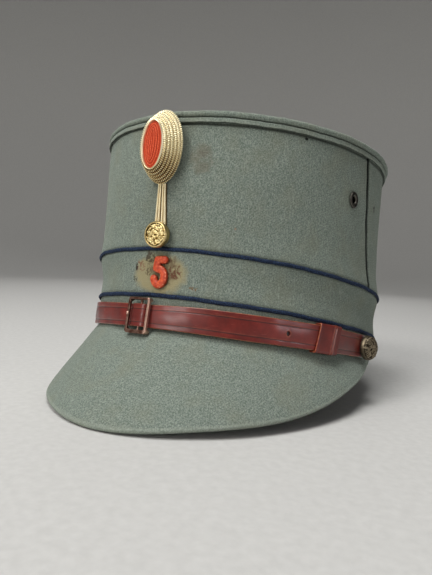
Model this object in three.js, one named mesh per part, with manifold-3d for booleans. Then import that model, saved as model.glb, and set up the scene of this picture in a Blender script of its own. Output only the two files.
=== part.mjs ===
// A stiff military kepi: a tall oval crown of grey-green cloth on a stiff wall, a rolled rim round a
// sunken top, a head band between two blue cord pipings, a steep cloth-covered peak, a two-piece
// brown chin strap with buckle and keeper, and brass trim on the front and sides.
//
// Units are millimetres. The cap is drawn upright first: +Z up the head, -Y the front, +X the
// wearer's left, z = 0 near the strap's middle. At the end it is tipped back, as it stands on a
// table: on the lip of its peak and the back of its hem.
//
// Angles round the head are in degrees: 0 at the front, 90 at the wearer's left, 180 at the back.

import * as THREE from "three";
import { mergeVertices } from "three/addons/utils/BufferGeometryUtils.js";
import Module from "manifold-3d";

const wasm = await Module();
wasm.setup();

const { degToRad, lerp, smoothstep } = THREE.MathUtils;

// ---- Driving dimensions ------------------------------------------------------------------------

const GAP = 0.3; // left between neighbouring pieces
const FRONT_STEPS = 28; // facets round the crown's front panel
const BACK_STEPS = 34; // and round the rest of the head

// The wall's outer face, one row for each level up the cap: an oval of halfLength by halfWidth,
// its centre moved back by shift and to the wearer's left by aside. Its plane rises by rise for
// each mm towards the back, and its sides stand higher than its front by bow.
const WALL = [
  { level: -6, halfLength: 102.5, halfWidth: 87.2, shift: 0.0, aside: 1.6, rise: 0.0, bow: 0.0 },
  { level: 11.8, halfLength: 104.0, halfWidth: 89.8, shift: -2.2, aside: 1.3, rise: -0.01, bow: 0.1 },
  { level: 24, halfLength: 104.2, halfWidth: 90.0, shift: -3.4, aside: 0.8, rise: -0.004, bow: 0.1 },
  { level: 37.6, halfLength: 105.0, halfWidth: 91.4, shift: -4.6, aside: 0.2, rise: 0.005, bow: 0.0 },
  { level: 52, halfLength: 104.2, halfWidth: 89.6, shift: -7.3, aside: 0.0, rise: 0.022, bow: 0.2 },
  { level: 79, halfLength: 104.2, halfWidth: 88.6, shift: -11.5, aside: 0.0, rise: 0.055, bow: 0.8 },
  { level: 112, halfLength: 104.4, halfWidth: 88.6, shift: -15.0, aside: 0.1, rise: 0.1, bow: 1.6 },
  { level: 121, halfLength: 104.4, halfWidth: 88.7, shift: -15.0, aside: 0.7, rise: 0.106, bow: 1.7 },
];
const HEM_LEVEL = -6;
const SEAM_LEVEL = 37.6; // the band's top seam, where the upper piping lies
const LOWER_PIPING_LEVEL = 11.8;
const CROWN_TOP_LEVEL = 116.9; // top edge of the crown panels, under the rolled rim
const BAND_THICK = 3.0;
const CROWN_THICK = 2.6;
const SIDE_SEAM_ANGLE = 79.5;

const RIM = { level: 118.95, height: 3.6, depth: 4.4, out: 2.3 };
const FOLD = { low: 113.9, high: 116.7, depth: 1.5 };
const TOP_DISC = { level: 113.2, thick: 2.4, sink: 1.6, margin: 0.5 };
const PIPING = { height: 2.2, depth: 0.8 };

// The peak's lip: how far it stands out from the hem and drops below z = 0, by angle. It has been
// bent a little lower on the wearer's right.
const PEAK_LIP = [
  { angle: -88, reach: 2.7, drop: 4.7 },
  { angle: -70, reach: 10.6, drop: 17.9 },
  { angle: -45, reach: 21.4, drop: 39.4 },
  { angle: -22, reach: 32.4, drop: 48.7 },
  { angle: 0, reach: 39.4, drop: 53.2 },
  { angle: 22, reach: 32.4, drop: 46.6 },
  { angle: 45, reach: 21.4, drop: 36.2 },
  { angle: 70, reach: 10.6, drop: 17.4 },
  { angle: 88, reach: 2.7, drop: 4.7 },
];
const PEAK_ROOT = { out: 0.4, drop: 3.0 };
const PEAK_THICK = 2.6;
const PEAK_LENGTH = 65; // from root to lip at the front
const PEAK_BOW = 0.8; // how far the slope is crowned there

const STRAP_THICK = 1.3;
const STRAP_OUT = 0.4; // the inner strap's stand-off from the band at its upper edge
const STRAP_LAYER = STRAP_THICK + GAP; // from the inner strap to the outer one
// The strap's edges by angle: it lies steeper at the sides, and its foot is pushed out by the peak.
const STRAP_EDGES = [
  { angle: -95, foot: -1.4, top: 10.4, footOut: 1.9 },
  { angle: -65, foot: -3.3, top: 9.8, footOut: 2.2 },
  { angle: -30, foot: -4.5, top: 8.1, footOut: 2.3 },
  { angle: -4, foot: -4.5, top: 7.4, footOut: 2.5 },
  { angle: 14, foot: -4.5, top: 8.5, footOut: 2.4 },
  { angle: 32, foot: -4.5, top: 8.9, footOut: 2.3 },
  { angle: 65, foot: -3.3, top: 10.0, footOut: 2.2 },
  { angle: 95, foot: -1.4, top: 10.4, footOut: 1.9 },
];
const OUTER_STRAP = { from: -85.5, to: 55.8 };
const INNER_STRAP = { from: -3.9, to: 85.5 };
const KEEPER = { from: 52.6, to: 61.2, wall: 0.8, lift: 1.3, ease: 9, skew: 1.7 };

const BUCKLE = { angle: -5.15, width: 14.3, height: 18.8, wall: 1.4, near: 2.7, far: 6.2 };
const BUCKLE_BAR = { radius: 0.7, out: 3.5 };
const STRAP_HUMP = { half: 3.0, rise: 2.7 }; // where the outer strap rides over the buckle's bar

const SIDE_BUTTON = { angle: 79.5, radius: 7.2, height: 5.8, lower: 0.7, toFront: 12, out: 1.2 };
const FRONT_BUTTON = { angle: 0.2, level: 45.5, radius: 6.9, height: 4.5, out: 0.4 };

const COCKADE = { level: 98.2, angle: 0.4, droop: 8, turn: 8, out: 1.2 };
// The cockade's side, one row for each step out from the wall: half sizes of its oval.
const COCKADE_RINGS = [
  { out: 0.0, halfHeight: 17.8, halfWidth: 10.8 },
  { out: 0.8, halfHeight: 18.4, halfWidth: 11.4 },
  { out: 2.6, halfHeight: 17.9, halfWidth: 11.1 },
  { out: 5.6, halfHeight: 16.2, halfWidth: 9.7 },
  { out: 9.0, halfHeight: 14.1, halfWidth: 8.1 },
  { out: 12.0, halfHeight: 12.3, halfWidth: 6.6 },
];
const COCKADE_CORE = { halfHeight: 11.3, halfWidth: 5.3, seat: 10.6, crown: 1.9 };

const LOOP = { angle: -0.35, top: 76.5, foot: 49, topHalf: 2.35, footHalf: 3.8, thick: 1.5, out: 0.5 };

const NUMERAL = { angle: 0.2, level: 24.6, stroke: 4.2, thick: 2.0, out: 0.5 };
// An eyelet is pressed slightly oval: squeeze is its width as a share of its height.
const EYELET = {
  angle: 69.2,
  level: 85.8,
  flange: 4.7,
  hole: 1.9,
  barrel: 2.4,
  thick: 1.0,
  squeeze: 0.87,
};
const EYELET_HOLE_RADIUS = EYELET.barrel + GAP;

// ---- Curves and solids -------------------------------------------------------------------------

// The value of one column of a table at x: a smooth cubic through the rows.
function column(table, key, name, x) {
  const last = table.length - 1;
  const slope = (i) => {
    const before = table[Math.max(i - 1, 0)];
    const after = table[Math.min(i + 1, last)];
    return (after[name] - before[name]) / (after[key] - before[key]);
  };
  let i = 0;
  while (i < last - 1 && x > table[i + 1][key]) i += 1;
  const span = table[i + 1][key] - table[i][key];
  const u = THREE.MathUtils.clamp((x - table[i][key]) / span, 0, 1);
  const w = u * u * (3 - 2 * u);
  const bend = span * (u * (1 - u) * (1 - u) * slope(i) - u * u * (1 - u) * slope(i + 1));
  return lerp(table[i][name], table[i + 1][name], w) + bend;
}

// A point of the wall's outer face, moved out level from it by out.
function wallPoint(angle, level, out = 0) {
  const t = degToRad(angle);
  const a = column(WALL, "level", "halfLength", level);
  const b = column(WALL, "level", "halfWidth", level);
  const x = b * Math.sin(t);
  const y = column(WALL, "level", "shift", level) - a * Math.cos(t);
  const normal = new THREE.Vector2(Math.sin(t) / b, -Math.cos(t) / a).normalize();
  const aside = column(WALL, "level", "aside", level);
  const rise = column(WALL, "level", "rise", level) * y;
  const bow = column(WALL, "level", "bow", level) * Math.sin(t) ** 2;
  return new THREE.Vector3(x + aside + normal.x * out, y + normal.y * out, level + rise + bow);
}

// The directions at a point of the wall: right round the head, up the wall, and straight out.
function wallFrame(angle, level) {
  const step = 0.05;
  const right = wallPoint(angle + step, level).sub(wallPoint(angle - step, level)).normalize();
  const climb = wallPoint(angle, level + step).sub(wallPoint(angle, level - step));
  const outward = new THREE.Vector3().crossVectors(right, climb).normalize();
  const up = new THREE.Vector3().crossVectors(outward, right);
  return { right, up, outward, at: wallPoint(angle, level) };
}

function range(from, to, steps) {
  return Array.from({ length: steps + 1 }, (_, i) => lerp(from, to, i / steps));
}

// A closed geometry from points and triangles, turned so that its faces point outwards.
function geometryOf(points, triangles) {
  let volume = 0;
  for (let i = 0; i < triangles.length; i += 3) {
    const [p, q, r] = [0, 1, 2].map((k) => points[triangles[i + k]]);
    volume += p.dot(new THREE.Vector3().crossVectors(q, r));
  }
  const index = volume < 0 ? triangles.slice().reverse() : triangles;
  const geometry = new THREE.BufferGeometry().setFromPoints(points);
  geometry.setIndex(index);
  return geometry;
}

// A wall between two faces given as grids [along][across] of points. Its edges are closed, and
// where closed is true the last row joins the first.
function shell(face, back, closed) {
  const along = face.length;
  const across = face[0].length;
  const points = [...face.flat(), ...back.flat()];
  const triangles = [];
  const at = (side, i, j) => (side * along + (i % along)) * across + j;
  const quad = (a, b, c, d) => triangles.push(a, b, c, a, c, d);
  const rows = closed ? along : along - 1;
  for (let i = 0; i < rows; i += 1) {
    for (let j = 0; j < across - 1; j += 1) {
      quad(at(0, i, j), at(0, i + 1, j), at(0, i + 1, j + 1), at(0, i, j + 1));
      quad(at(1, i, j), at(1, i, j + 1), at(1, i + 1, j + 1), at(1, i + 1, j));
    }
    quad(at(0, i, 0), at(1, i, 0), at(1, i + 1, 0), at(0, i + 1, 0));
    const j = across - 1;
    quad(at(0, i, j), at(0, i + 1, j), at(1, i + 1, j), at(1, i, j));
  }
  if (!closed) {
    const i = along - 1;
    for (let j = 0; j < across - 1; j += 1) {
      quad(at(0, 0, j), at(0, 0, j + 1), at(1, 0, j + 1), at(1, 0, j));
      quad(at(0, i, j), at(1, i, j), at(1, i, j + 1), at(0, i, j + 1));
    }
  }
  return geometryOf(points, triangles);
}

// A solid ring or stack from rows of closed loops of points. An open stack has flat ends.
function loft(loops, closed) {
  const count = loops.length;
  const sides = loops[0].length;
  const points = loops.flat();
  const triangles = [];
  const at = (i, j) => (i % count) * sides + (j % sides);
  for (let i = 0; i < (closed ? count : count - 1); i += 1)
    for (let j = 0; j < sides; j += 1) {
      triangles.push(at(i, j), at(i + 1, j), at(i + 1, j + 1));
      triangles.push(at(i, j), at(i + 1, j + 1), at(i, j + 1));
    }
  if (!closed)
    for (let j = 1; j < sides - 1; j += 1) {
      triangles.push(at(0, 0), at(0, j), at(0, j + 1));
      triangles.push(at(count - 1, 0), at(count - 1, j + 1), at(count - 1, j));
    }
  return geometryOf(points, triangles);
}

function manifoldOf(geometry) {
  const bare = new THREE.BufferGeometry();
  bare.setAttribute("position", geometry.getAttribute("position").clone());
  if (geometry.index) bare.setIndex(geometry.index.clone());
  const merged = mergeVertices(bare, 1e-4);
  const vertProperties = new Float32Array(merged.attributes.position.array);
  const triVerts = new Uint32Array(merged.index.array);
  return new wasm.Manifold(new wasm.Mesh({ numProp: 3, vertProperties, triVerts }));
}

function geometryFromManifold(solid) {
  const mesh = solid.getMesh();
  const geometry = new THREE.BufferGeometry();
  geometry.setAttribute("position", new THREE.BufferAttribute(mesh.vertProperties, 3));
  geometry.setIndex(new THREE.BufferAttribute(mesh.triVerts, 1));
  return geometry;
}

// A turned piece, its axis along +Z, from a profile of [radius, height] pairs.
function turned(profile, segments) {
  const points = profile.map(([radius, height]) => new THREE.Vector2(radius, height));
  return new THREE.LatheGeometry(points, segments).rotateX(Math.PI / 2);
}

// ---- Materials ---------------------------------------------------------------------------------

const finish = (color, roughness, metalness) =>
  new THREE.MeshStandardMaterial({ color, roughness, metalness });
const cloth = finish(0x6f7c70, 0.95, 0);
const blueCord = finish(0x1c2c52, 0.9, 0);
const leather = finish(0x6e2320, 0.45, 0);
const brass = finish(0xc9ab68, 0.35, 1);
const oldBrass = finish(0x7a6444, 0.5, 1);
const bronze = finish(0x6b4a33, 0.45, 1);
const orangeCloth = finish(0xd8452a, 0.8, 0);
const blackMetal = finish(0x2b2a28, 0.5, 1);

const cap = new THREE.Group();

function add(name, geometry, material) {
  const mesh = new THREE.Mesh(geometry, material.clone());
  mesh.name = name;
  cap.add(mesh);
  return mesh;
}

// Stands a piece drawn along +Z on the wall, its +Y up the wall. droop tips its far end down and
// turn rolls it clockwise, as seen from outside, in degrees.
function mountOnWall(mesh, angle, level, out, { droop = 0, turn = 0 } = {}) {
  const { right, up, outward, at } = wallFrame(angle, level);
  mesh.matrixAutoUpdate = true;
  mesh.quaternion.setFromRotationMatrix(new THREE.Matrix4().makeBasis(right, up, outward));
  mesh.position.copy(at).addScaledVector(outward, out);
  mesh.rotateX(degToRad(droop));
  mesh.rotateZ(-degToRad(turn));
}

// ---- Crown, band and rim -----------------------------------------------------------------------

// A stretch of the wall: its outer and inner faces between two levels and over some angles.
function wallShell(angles, levels, thick, closed) {
  const face = (out) => angles.map((angle) => levels.map((level) => wallPoint(angle, level, out)));
  return shell(face(0), face(-thick), closed);
}

// The crown is a front panel and a back one that meet at a seam over each ear. All the rings
// share their angles, so that facets lie face to face.
const seamHalfGap = 0.12; // degrees
const frontEnd = SIDE_SEAM_ANGLE - seamHalfGap;
const backEnd = SIDE_SEAM_ANGLE + seamHalfGap;
const frontAngles = range(-frontEnd, frontEnd, FRONT_STEPS);
const backAngles = range(backEnd, 360 - backEnd, BACK_STEPS);
const ringAngles = [...frontAngles, ...backAngles];
const bandLevels = [HEM_LEVEL, 2, 10, 14, 24, 34, SEAM_LEVEL];
const crownLevels = [SEAM_LEVEL + GAP, 41, 49, 60, 79, 98, 109, CROWN_TOP_LEVEL];

add("head_band", wallShell(ringAngles, bandLevels, BAND_THICK, true), cloth);

// The front panel has a round hole at each side for its ventilation eyelet.
const punch = new THREE.CylinderGeometry(EYELET_HOLE_RADIUS, EYELET_HOLE_RADIUS, 12, 20);
punch.rotateX(Math.PI / 2);
let frontPanel = manifoldOf(wallShell(frontAngles, crownLevels, CROWN_THICK, false));
for (const side of [-1, 1]) {
  const tool = new THREE.Mesh(punch);
  mountOnWall(tool, side * EYELET.angle, EYELET.level, 0);
  tool.updateMatrixWorld(true);
  frontPanel = frontPanel.subtract(manifoldOf(punch.clone().applyMatrix4(tool.matrixWorld)));
}
add("crown_front", geometryFromManifold(frontPanel), cloth);
add("crown_back", wallShell(backAngles, crownLevels, CROWN_THICK, false), cloth);

// A cord or welt round the head. Its section is a half oval, or a whole one, standing out from
// the wall at a level.
function ringCord(level, height, depth, out, sectionAngles) {
  const loops = ringAngles.map((angle) =>
    sectionAngles.map((s) => {
      const u = degToRad(s);
      return wallPoint(angle, level + (height / 2) * Math.sin(u), out + depth * Math.cos(u));
    }),
  );
  return loft(loops, true);
}
const halfOval = [-90, -45, 0, 45, 90];
const wholeOval = range(0, 360, 8).slice(0, -1);

add("upper_piping", ringCord(SEAM_LEVEL, PIPING.height, PIPING.depth, GAP, halfOval), blueCord);
add("lower_piping", ringCord(LOWER_PIPING_LEVEL, PIPING.height, PIPING.depth, GAP, halfOval), blueCord);
const foldLevel = (FOLD.low + FOLD.high) / 2;
add("rim_fold", ringCord(foldLevel, FOLD.high - FOLD.low, FOLD.depth, GAP, halfOval), cloth);
const rollCentre = RIM.out - RIM.depth / 2;
add("rim_roll", ringCord(RIM.level, RIM.height, RIM.depth / 2, rollCentre, wholeOval), cloth);

// The top: a cloth-covered disc inside the wall, sunk towards its middle.
function topDisc() {
  const edge = -CROWN_THICK - TOP_DISC.margin;
  const face = (level) => {
    const centre = wallPoint(0, level).add(wallPoint(180, level)).multiplyScalar(0.5);
    return ringAngles.map((angle) =>
      [1, 0.85, 0.5, 0.02].map((share) => {
        const point = wallPoint(angle, level, edge).lerp(centre, 1 - share);
        point.z -= TOP_DISC.sink * (1 - share * share);
        return point;
      }),
    );
  };
  const points = [...face(TOP_DISC.level).flat(), ...face(TOP_DISC.level - TOP_DISC.thick).flat()];
  const across = 4;
  const count = ringAngles.length;
  const at = (side, i, j) => (side * count + (i % count)) * across + j;
  const triangles = [];
  const quad = (a, b, c, d) => triangles.push(a, b, c, a, c, d);
  ringAngles.forEach((_, i) => {
    for (let j = 0; j < across - 1; j += 1) {
      quad(at(0, i, j), at(0, i + 1, j), at(0, i + 1, j + 1), at(0, i, j + 1));
      quad(at(1, i, j), at(1, i, j + 1), at(1, i + 1, j + 1), at(1, i + 1, j));
    }
    quad(at(0, i, 0), at(1, i, 0), at(1, i + 1, 0), at(0, i + 1, 0));
    if (i > 0 && i < count - 1) {
      const j = across - 1;
      triangles.push(at(0, 0, j), at(0, i, j), at(0, i + 1, j));
      triangles.push(at(1, 0, j), at(1, i + 1, j), at(1, i, j));
    }
  });
  return geometryOf(points, triangles);
}
add("crown_top", topDisc(), cloth);

// ---- Peak --------------------------------------------------------------------------------------

// A slab that slopes from the hem to the lip: share 0 is its root and 1 its lip. It has one
// thickness all over, its root is cut upright along the band, and its lip square.
function peakPoint(angle, share, under) {
  const root = wallPoint(angle, -PEAK_ROOT.drop, PEAK_ROOT.out);
  const lip = wallPoint(angle, HEM_LEVEL, column(PEAK_LIP, "angle", "reach", angle));
  lip.z = -column(PEAK_LIP, "angle", "drop", angle);
  root.z = -PEAK_ROOT.drop;
  const length = root.distanceTo(lip);
  const level = new THREE.Vector3(lip.x - root.x, lip.y - root.y, 0);
  const slope = Math.atan2(root.z - lip.z, level.length());
  level.normalize();
  if (under) {
    root.z -= PEAK_THICK / Math.cos(slope);
    lip.z -= PEAK_THICK * Math.cos(slope);
    lip.addScaledVector(level, -PEAK_THICK * Math.sin(slope));
  }
  const bow = PEAK_BOW * (length / PEAK_LENGTH) * 4 * share * (1 - share);
  const point = root.lerp(lip, share).addScaledVector(level, bow * Math.sin(slope));
  point.z += bow * Math.cos(slope);
  return point;
}
const peakEnd = PEAK_LIP.at(-1).angle;
const peakAngles = range(-peakEnd, peakEnd, 40);
const peakFace = (under) =>
  peakAngles.map((angle) => [0, 0.35, 0.7, 1].map((share) => peakPoint(angle, share, under)));
add("peak", shell(peakFace(false), peakFace(true), false), cloth);

// ---- Chin strap --------------------------------------------------------------------------------

// How far the straps are lifted off the band where the keeper passes behind them.
function keeperLift(angle) {
  const middle = (KEEPER.from + KEEPER.to) / 2;
  const half = (KEEPER.to - KEEPER.from) / 2;
  return KEEPER.lift * (1 - smoothstep(Math.abs(angle - middle), half, half + KEEPER.ease));
}

// A point of the strap's band: share runs from 0 at its foot to 1 at its top edge, and out is
// counted from the strap's own bed.
function strapPoint(angle, share, out) {
  const foot = column(STRAP_EDGES, "angle", "foot", angle);
  const top = column(STRAP_EDGES, "angle", "top", angle);
  const footOut = column(STRAP_EDGES, "angle", "footOut", angle);
  const level = lerp(foot, top, share);
  const point = wallPoint(angle, level, out + footOut * (1 - share));
  point.z = level;
  return point;
}

// The outer strap rides on the inner one, and left of the buckle it comes down to the band.
function outerStrapOut(angle) {
  const overInner = STRAP_LAYER * smoothstep(angle, -24, -10);
  const hump = Math.max(0, 1 - ((angle - BUCKLE.angle) / STRAP_HUMP.half) ** 2);
  return STRAP_OUT + overInner + keeperLift(angle) + STRAP_HUMP.rise * hump * hump;
}
const innerStrapOut = (angle) => STRAP_OUT + keeperLift(angle);

function strap(angles, outAt) {
  const face = (thick) =>
    angles.map((angle) => [0, 1].map((share) => strapPoint(angle, share, outAt(angle) + thick)));
  return shell(face(STRAP_THICK), face(0), false);
}
const humpFrom = BUCKLE.angle - STRAP_HUMP.half;
const humpTo = BUCKLE.angle + STRAP_HUMP.half;
const outerAngles = [
  ...range(OUTER_STRAP.from, humpFrom, 16).slice(0, -1),
  ...range(humpFrom, humpTo, 8),
  ...range(humpTo, OUTER_STRAP.to, 14).slice(1),
];
add("strap_outer", strap(outerAngles, outerStrapOut), leather);
add("strap_inner", strap(range(INNER_STRAP.from, INNER_STRAP.to, 24), innerStrapOut), leather);

// The keeper: a leather loop round both straps, its section a rounded box swept along the strap.
function keeper() {
  const low = STRAP_OUT; // its back lies on the band
  const high = STRAP_OUT + KEEPER.lift + 2 * STRAP_THICK + 2 * GAP + KEEPER.wall;
  const width = 13; // of the strap here
  const edge = (KEEPER.wall + GAP) / width;
  const box = (shrink) => {
    const s = edge - shrink / width;
    const corners = [
      [-s, low + shrink],
      [1 + s, low + shrink],
      [1 + s, high - shrink],
      [-s, high - shrink],
    ];
    return corners.flatMap(([share, out], k) => {
      const next = corners[(k + 1) % 4];
      return [0, 0.5].map((u) => [lerp(share, next[0], u), lerp(out, next[1], u)]);
    });
  };
  const angles = range(KEEPER.from, KEEPER.to, 4);
  const sweep = (shrink) =>
    box(shrink).map(([share, out]) =>
      angles.map((angle) => strapPoint(angle + KEEPER.skew * (share - 0.5), share, out)),
    );
  return shell(sweep(0), sweep(KEEPER.wall), true);
}
add("strap_keeper", keeper(), leather);

// The buckle: a square frame with a passage behind its side bars for the straps, and an upright
// bar in the middle that the outer strap rides over.
function buckle() {
  const { width, height, wall, near, far } = BUCKLE;
  const rectangle = (w, h) =>
    [[-w, -h], [w, -h], [w, h], [-w, h]].map(([x, y]) => new THREE.Vector2(x / 2, y / 2));
  const outline = new THREE.Shape(rectangle(width, height));
  outline.holes.push(new THREE.Path(rectangle(width - 2 * wall, height - 2 * wall)));
  const frame = new THREE.ExtrudeGeometry(outline, { depth: far - near, bevelEnabled: false });
  frame.translate(0, 0, near);
  const strapTop = STRAP_OUT + STRAP_LAYER + STRAP_THICK + 2 * GAP;
  const passage = new THREE.BoxGeometry(width * 2, height - 2 * wall, 2 * strapTop);
  const bar = new THREE.CylinderGeometry(BUCKLE_BAR.radius, BUCKLE_BAR.radius, height - wall, 10);
  bar.translate(0, 0, BUCKLE_BAR.out);
  return geometryFromManifold(manifoldOf(frame).subtract(manifoldOf(passage)).add(manifoldOf(bar)));
}

// Lays a piece drawn along +Z on the strap's own slanting plane, halfway up the strap.
function mountOnStrap(mesh, angle, out) {
  const foot = strapPoint(angle, 0, 0);
  const up = strapPoint(angle, 1, 0).sub(foot);
  const { right } = wallFrame(angle, 0);
  const outward = new THREE.Vector3().crossVectors(right, up).normalize();
  mesh.position.copy(foot).addScaledVector(up, 0.5).addScaledVector(outward, out);
  up.crossVectors(outward, right);
  mesh.quaternion.setFromRotationMatrix(new THREE.Matrix4().makeBasis(right, up, outward));
}
mountOnStrap(add("buckle_frame", buckle(), bronze), BUCKLE.angle, 0);

// ---- Buttons, loop and cockade -----------------------------------------------------------------

// A domed button for each end of the strap.
function sideButton() {
  const { radius, height } = SIDE_BUTTON;
  return turned(
    [
      [0, 0],
      [radius * 0.55, 0],
      [radius * 0.98, 0.9],
      [radius, 1.6],
      [radius * 0.9, height * 0.6],
      [radius * 0.62, height * 0.88],
      [radius * 0.3, height * 0.98],
      [0, height],
    ],
    20,
  );
}
for (const [name, side] of [["side_button_left", 1], ["side_button_right", -1]]) {
  const mesh = add(name, sideButton(), oldBrass);
  mountOnStrap(mesh, side * SIDE_BUTTON.angle, STRAP_OUT + STRAP_THICK + SIDE_BUTTON.out);
  mesh.translateY(-SIDE_BUTTON.lower);
  mesh.rotateY(-side * degToRad(SIDE_BUTTON.toFront));
}

// The front button: a flat face inside a raised edge, on a deep straight side.
function frontButton() {
  const { radius, height } = FRONT_BUTTON;
  return turned(
    [
      [0, 0],
      [radius * 0.9, 0],
      [radius * 0.96, 0.6],
      [radius, height - 1.2],
      [radius * 0.98, height - 0.2],
      [radius * 0.9, height],
      [radius * 0.84, height - 0.5],
      [radius * 0.5, height - 0.2],
      [0, height - 0.1],
    ],
    24,
  );
}
const loopFace = LOOP.out + LOOP.thick;
mountOnWall(
  add("front_button", frontButton(), brass),
  FRONT_BUTTON.angle,
  FRONT_BUTTON.level,
  loopFace + FRONT_BUTTON.out,
);

// Two ribbed strands run from under the cockade to under the button, spreading downwards.
function loopStrand(side) {
  const parting = 0.2;
  const levels = range(LOOP.foot, LOOP.top, 4);
  const lastShare = levels.length - 1;
  const loops = levels.map((level, i) => {
    const half = lerp(LOOP.footHalf, LOOP.topHalf, i / lastShare);
    const { right, outward, at } = wallFrame(LOOP.angle, level);
    const section = [
      [parting, 0],
      [half, 0],
      [half, 0.6],
      [half * 0.82, 1],
      [half * 0.55, 0.72],
      [half * 0.3, 1],
      [parting, 0.6],
    ];
    return section.map(([across, rise]) =>
      at
        .clone()
        .addScaledVector(right, side * across)
        .addScaledVector(outward, LOOP.out + LOOP.thick * rise),
    );
  });
  return loft(loops, false);
}
add("loop_strand_left", loopStrand(1), brass);
add("loop_strand_right", loopStrand(-1), brass);

// The cockade: a stamped oval cup that narrows towards its face, with an orange core set in it.
function oval(halfWidth, halfHeight, out, sides) {
  return range(0, 360, sides)
    .slice(0, -1)
    .map((angle) => {
      const t = degToRad(angle);
      return new THREE.Vector3(halfWidth * Math.cos(t), halfHeight * Math.sin(t), out);
    });
}
const COCKADE_SIDES = 28;
function cockadeShell() {
  const { halfHeight, halfWidth, seat } = COCKADE_CORE;
  const loops = COCKADE_RINGS.map((ring) =>
    oval(ring.halfWidth, ring.halfHeight, ring.out, COCKADE_SIDES),
  );
  const mouth = oval(halfWidth + GAP, halfHeight + GAP, COCKADE_RINGS.at(-1).out, COCKADE_SIDES);
  const floor = oval(halfWidth + GAP, halfHeight + GAP, seat, COCKADE_SIDES);
  return loft([...loops, mouth, floor], false);
}
function cockadeCore() {
  const { halfHeight, halfWidth, seat, crown } = COCKADE_CORE;
  const rings = [
    [1, 0],
    [1, 0.5],
    [0.86, 0.8],
    [0.5, 0.96],
    [0.1, 1],
  ];
  return loft(
    rings.map(([share, rise]) =>
      oval(halfWidth * share, halfHeight * share, seat + GAP + crown * rise, COCKADE_SIDES),
    ),
    false,
  );
}
for (const [name, geometry, material] of [
  ["cockade_shell", cockadeShell(), brass],
  ["cockade_core", cockadeCore(), orangeCloth],
]) {
  const out = loopFace + COCKADE.out;
  mountOnWall(add(name, geometry, material), COCKADE.angle, COCKADE.level, out, COCKADE);
}

// ---- Numeral and eyelets -----------------------------------------------------------------------

// A plain figure 5 of one rounded stroke: the flag, the stem, and a bowl that is part of a circle.
function numeral() {
  const bowl = { x: -0.1, y: -2.4, halfWidth: 3.1, halfHeight: 4.1 };
  const bowlPoint = (degrees) => {
    const t = degToRad(degrees);
    return [bowl.x + bowl.halfWidth * Math.cos(t), bowl.y + bowl.halfHeight * Math.sin(t)];
  };
  const line = [[2.8, 6.6], [-1.3, 6.4], [-1.8, 2.1], ...range(100, -165, 9).map(bowlPoint)];
  const radius = NUMERAL.stroke / 2;
  const capSides = 6;
  const capsule = ([x0, y0], [x1, y1]) => {
    const heading = Math.atan2(y1 - y0, x1 - x0);
    const end = (x, y, from) =>
      range(from, from + Math.PI, capSides).map(
        (t) => new THREE.Vector2(x + radius * Math.cos(t), y + radius * Math.sin(t)),
      );
    const outline = [...end(x1, y1, heading - Math.PI / 2), ...end(x0, y0, heading + Math.PI / 2)];
    return new THREE.ExtrudeGeometry(new THREE.Shape(outline), {
      depth: NUMERAL.thick,
      bevelEnabled: false,
    });
  };
  return line
    .slice(1)
    .map((point, i) => manifoldOf(capsule(line[i], point)))
    .reduce((solid, stroke) => solid.add(stroke));
}
const numeralMesh = add("numeral_5", geometryFromManifold(numeral()), orangeCloth);
mountOnWall(numeralMesh, NUMERAL.angle, NUMERAL.level, NUMERAL.out);

// A ventilation eyelet: a rounded flange outside and a barrel through the wall.
function eyelet() {
  const { flange, hole, barrel, thick } = EYELET;
  const back = -CROWN_THICK;
  return turned(
    [
      [hole, back],
      [barrel, back],
      [barrel, GAP],
      [flange, GAP],
      [flange * 0.93, thick * 0.8 + GAP],
      [flange * 0.75, thick + GAP],
      [hole + 0.5, thick * 0.8 + GAP],
      [hole, GAP],
      [hole, back],
    ],
    20,
  ).scale(EYELET.squeeze, 1, 1);
}
for (const [name, side] of [["eyelet_left", 1], ["eyelet_right", -1]])
  mountOnWall(add(name, eyelet(), blackMetal), side * EYELET.angle, EYELET.level, 0);

// ---- Standing on a table -----------------------------------------------------------------------

// The cap tips back until the peak's lip and the back of the hem are on one level. The origin is
// then on the table, under the middle of the whole cap.
const backFoot = wallPoint(180, HEM_LEVEL);
const lipAngles = range(-40, 40, 160);
const tipFor = (point) => Math.atan2(backFoot.z - point.z, backFoot.y - point.y);
const restTilt = Math.max(...lipAngles.map((angle) => tipFor(peakPoint(angle, 1, true))));
cap.rotation.x = -restTilt;

const standing = new THREE.Group();
standing.add(cap);
standing.updateMatrixWorld(true);
const box = new THREE.Box3().setFromObject(standing, true);
cap.position.set(-(box.min.x + box.max.x) / 2, -(box.min.y + box.max.y) / 2, -box.min.z);

export default standing;
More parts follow.
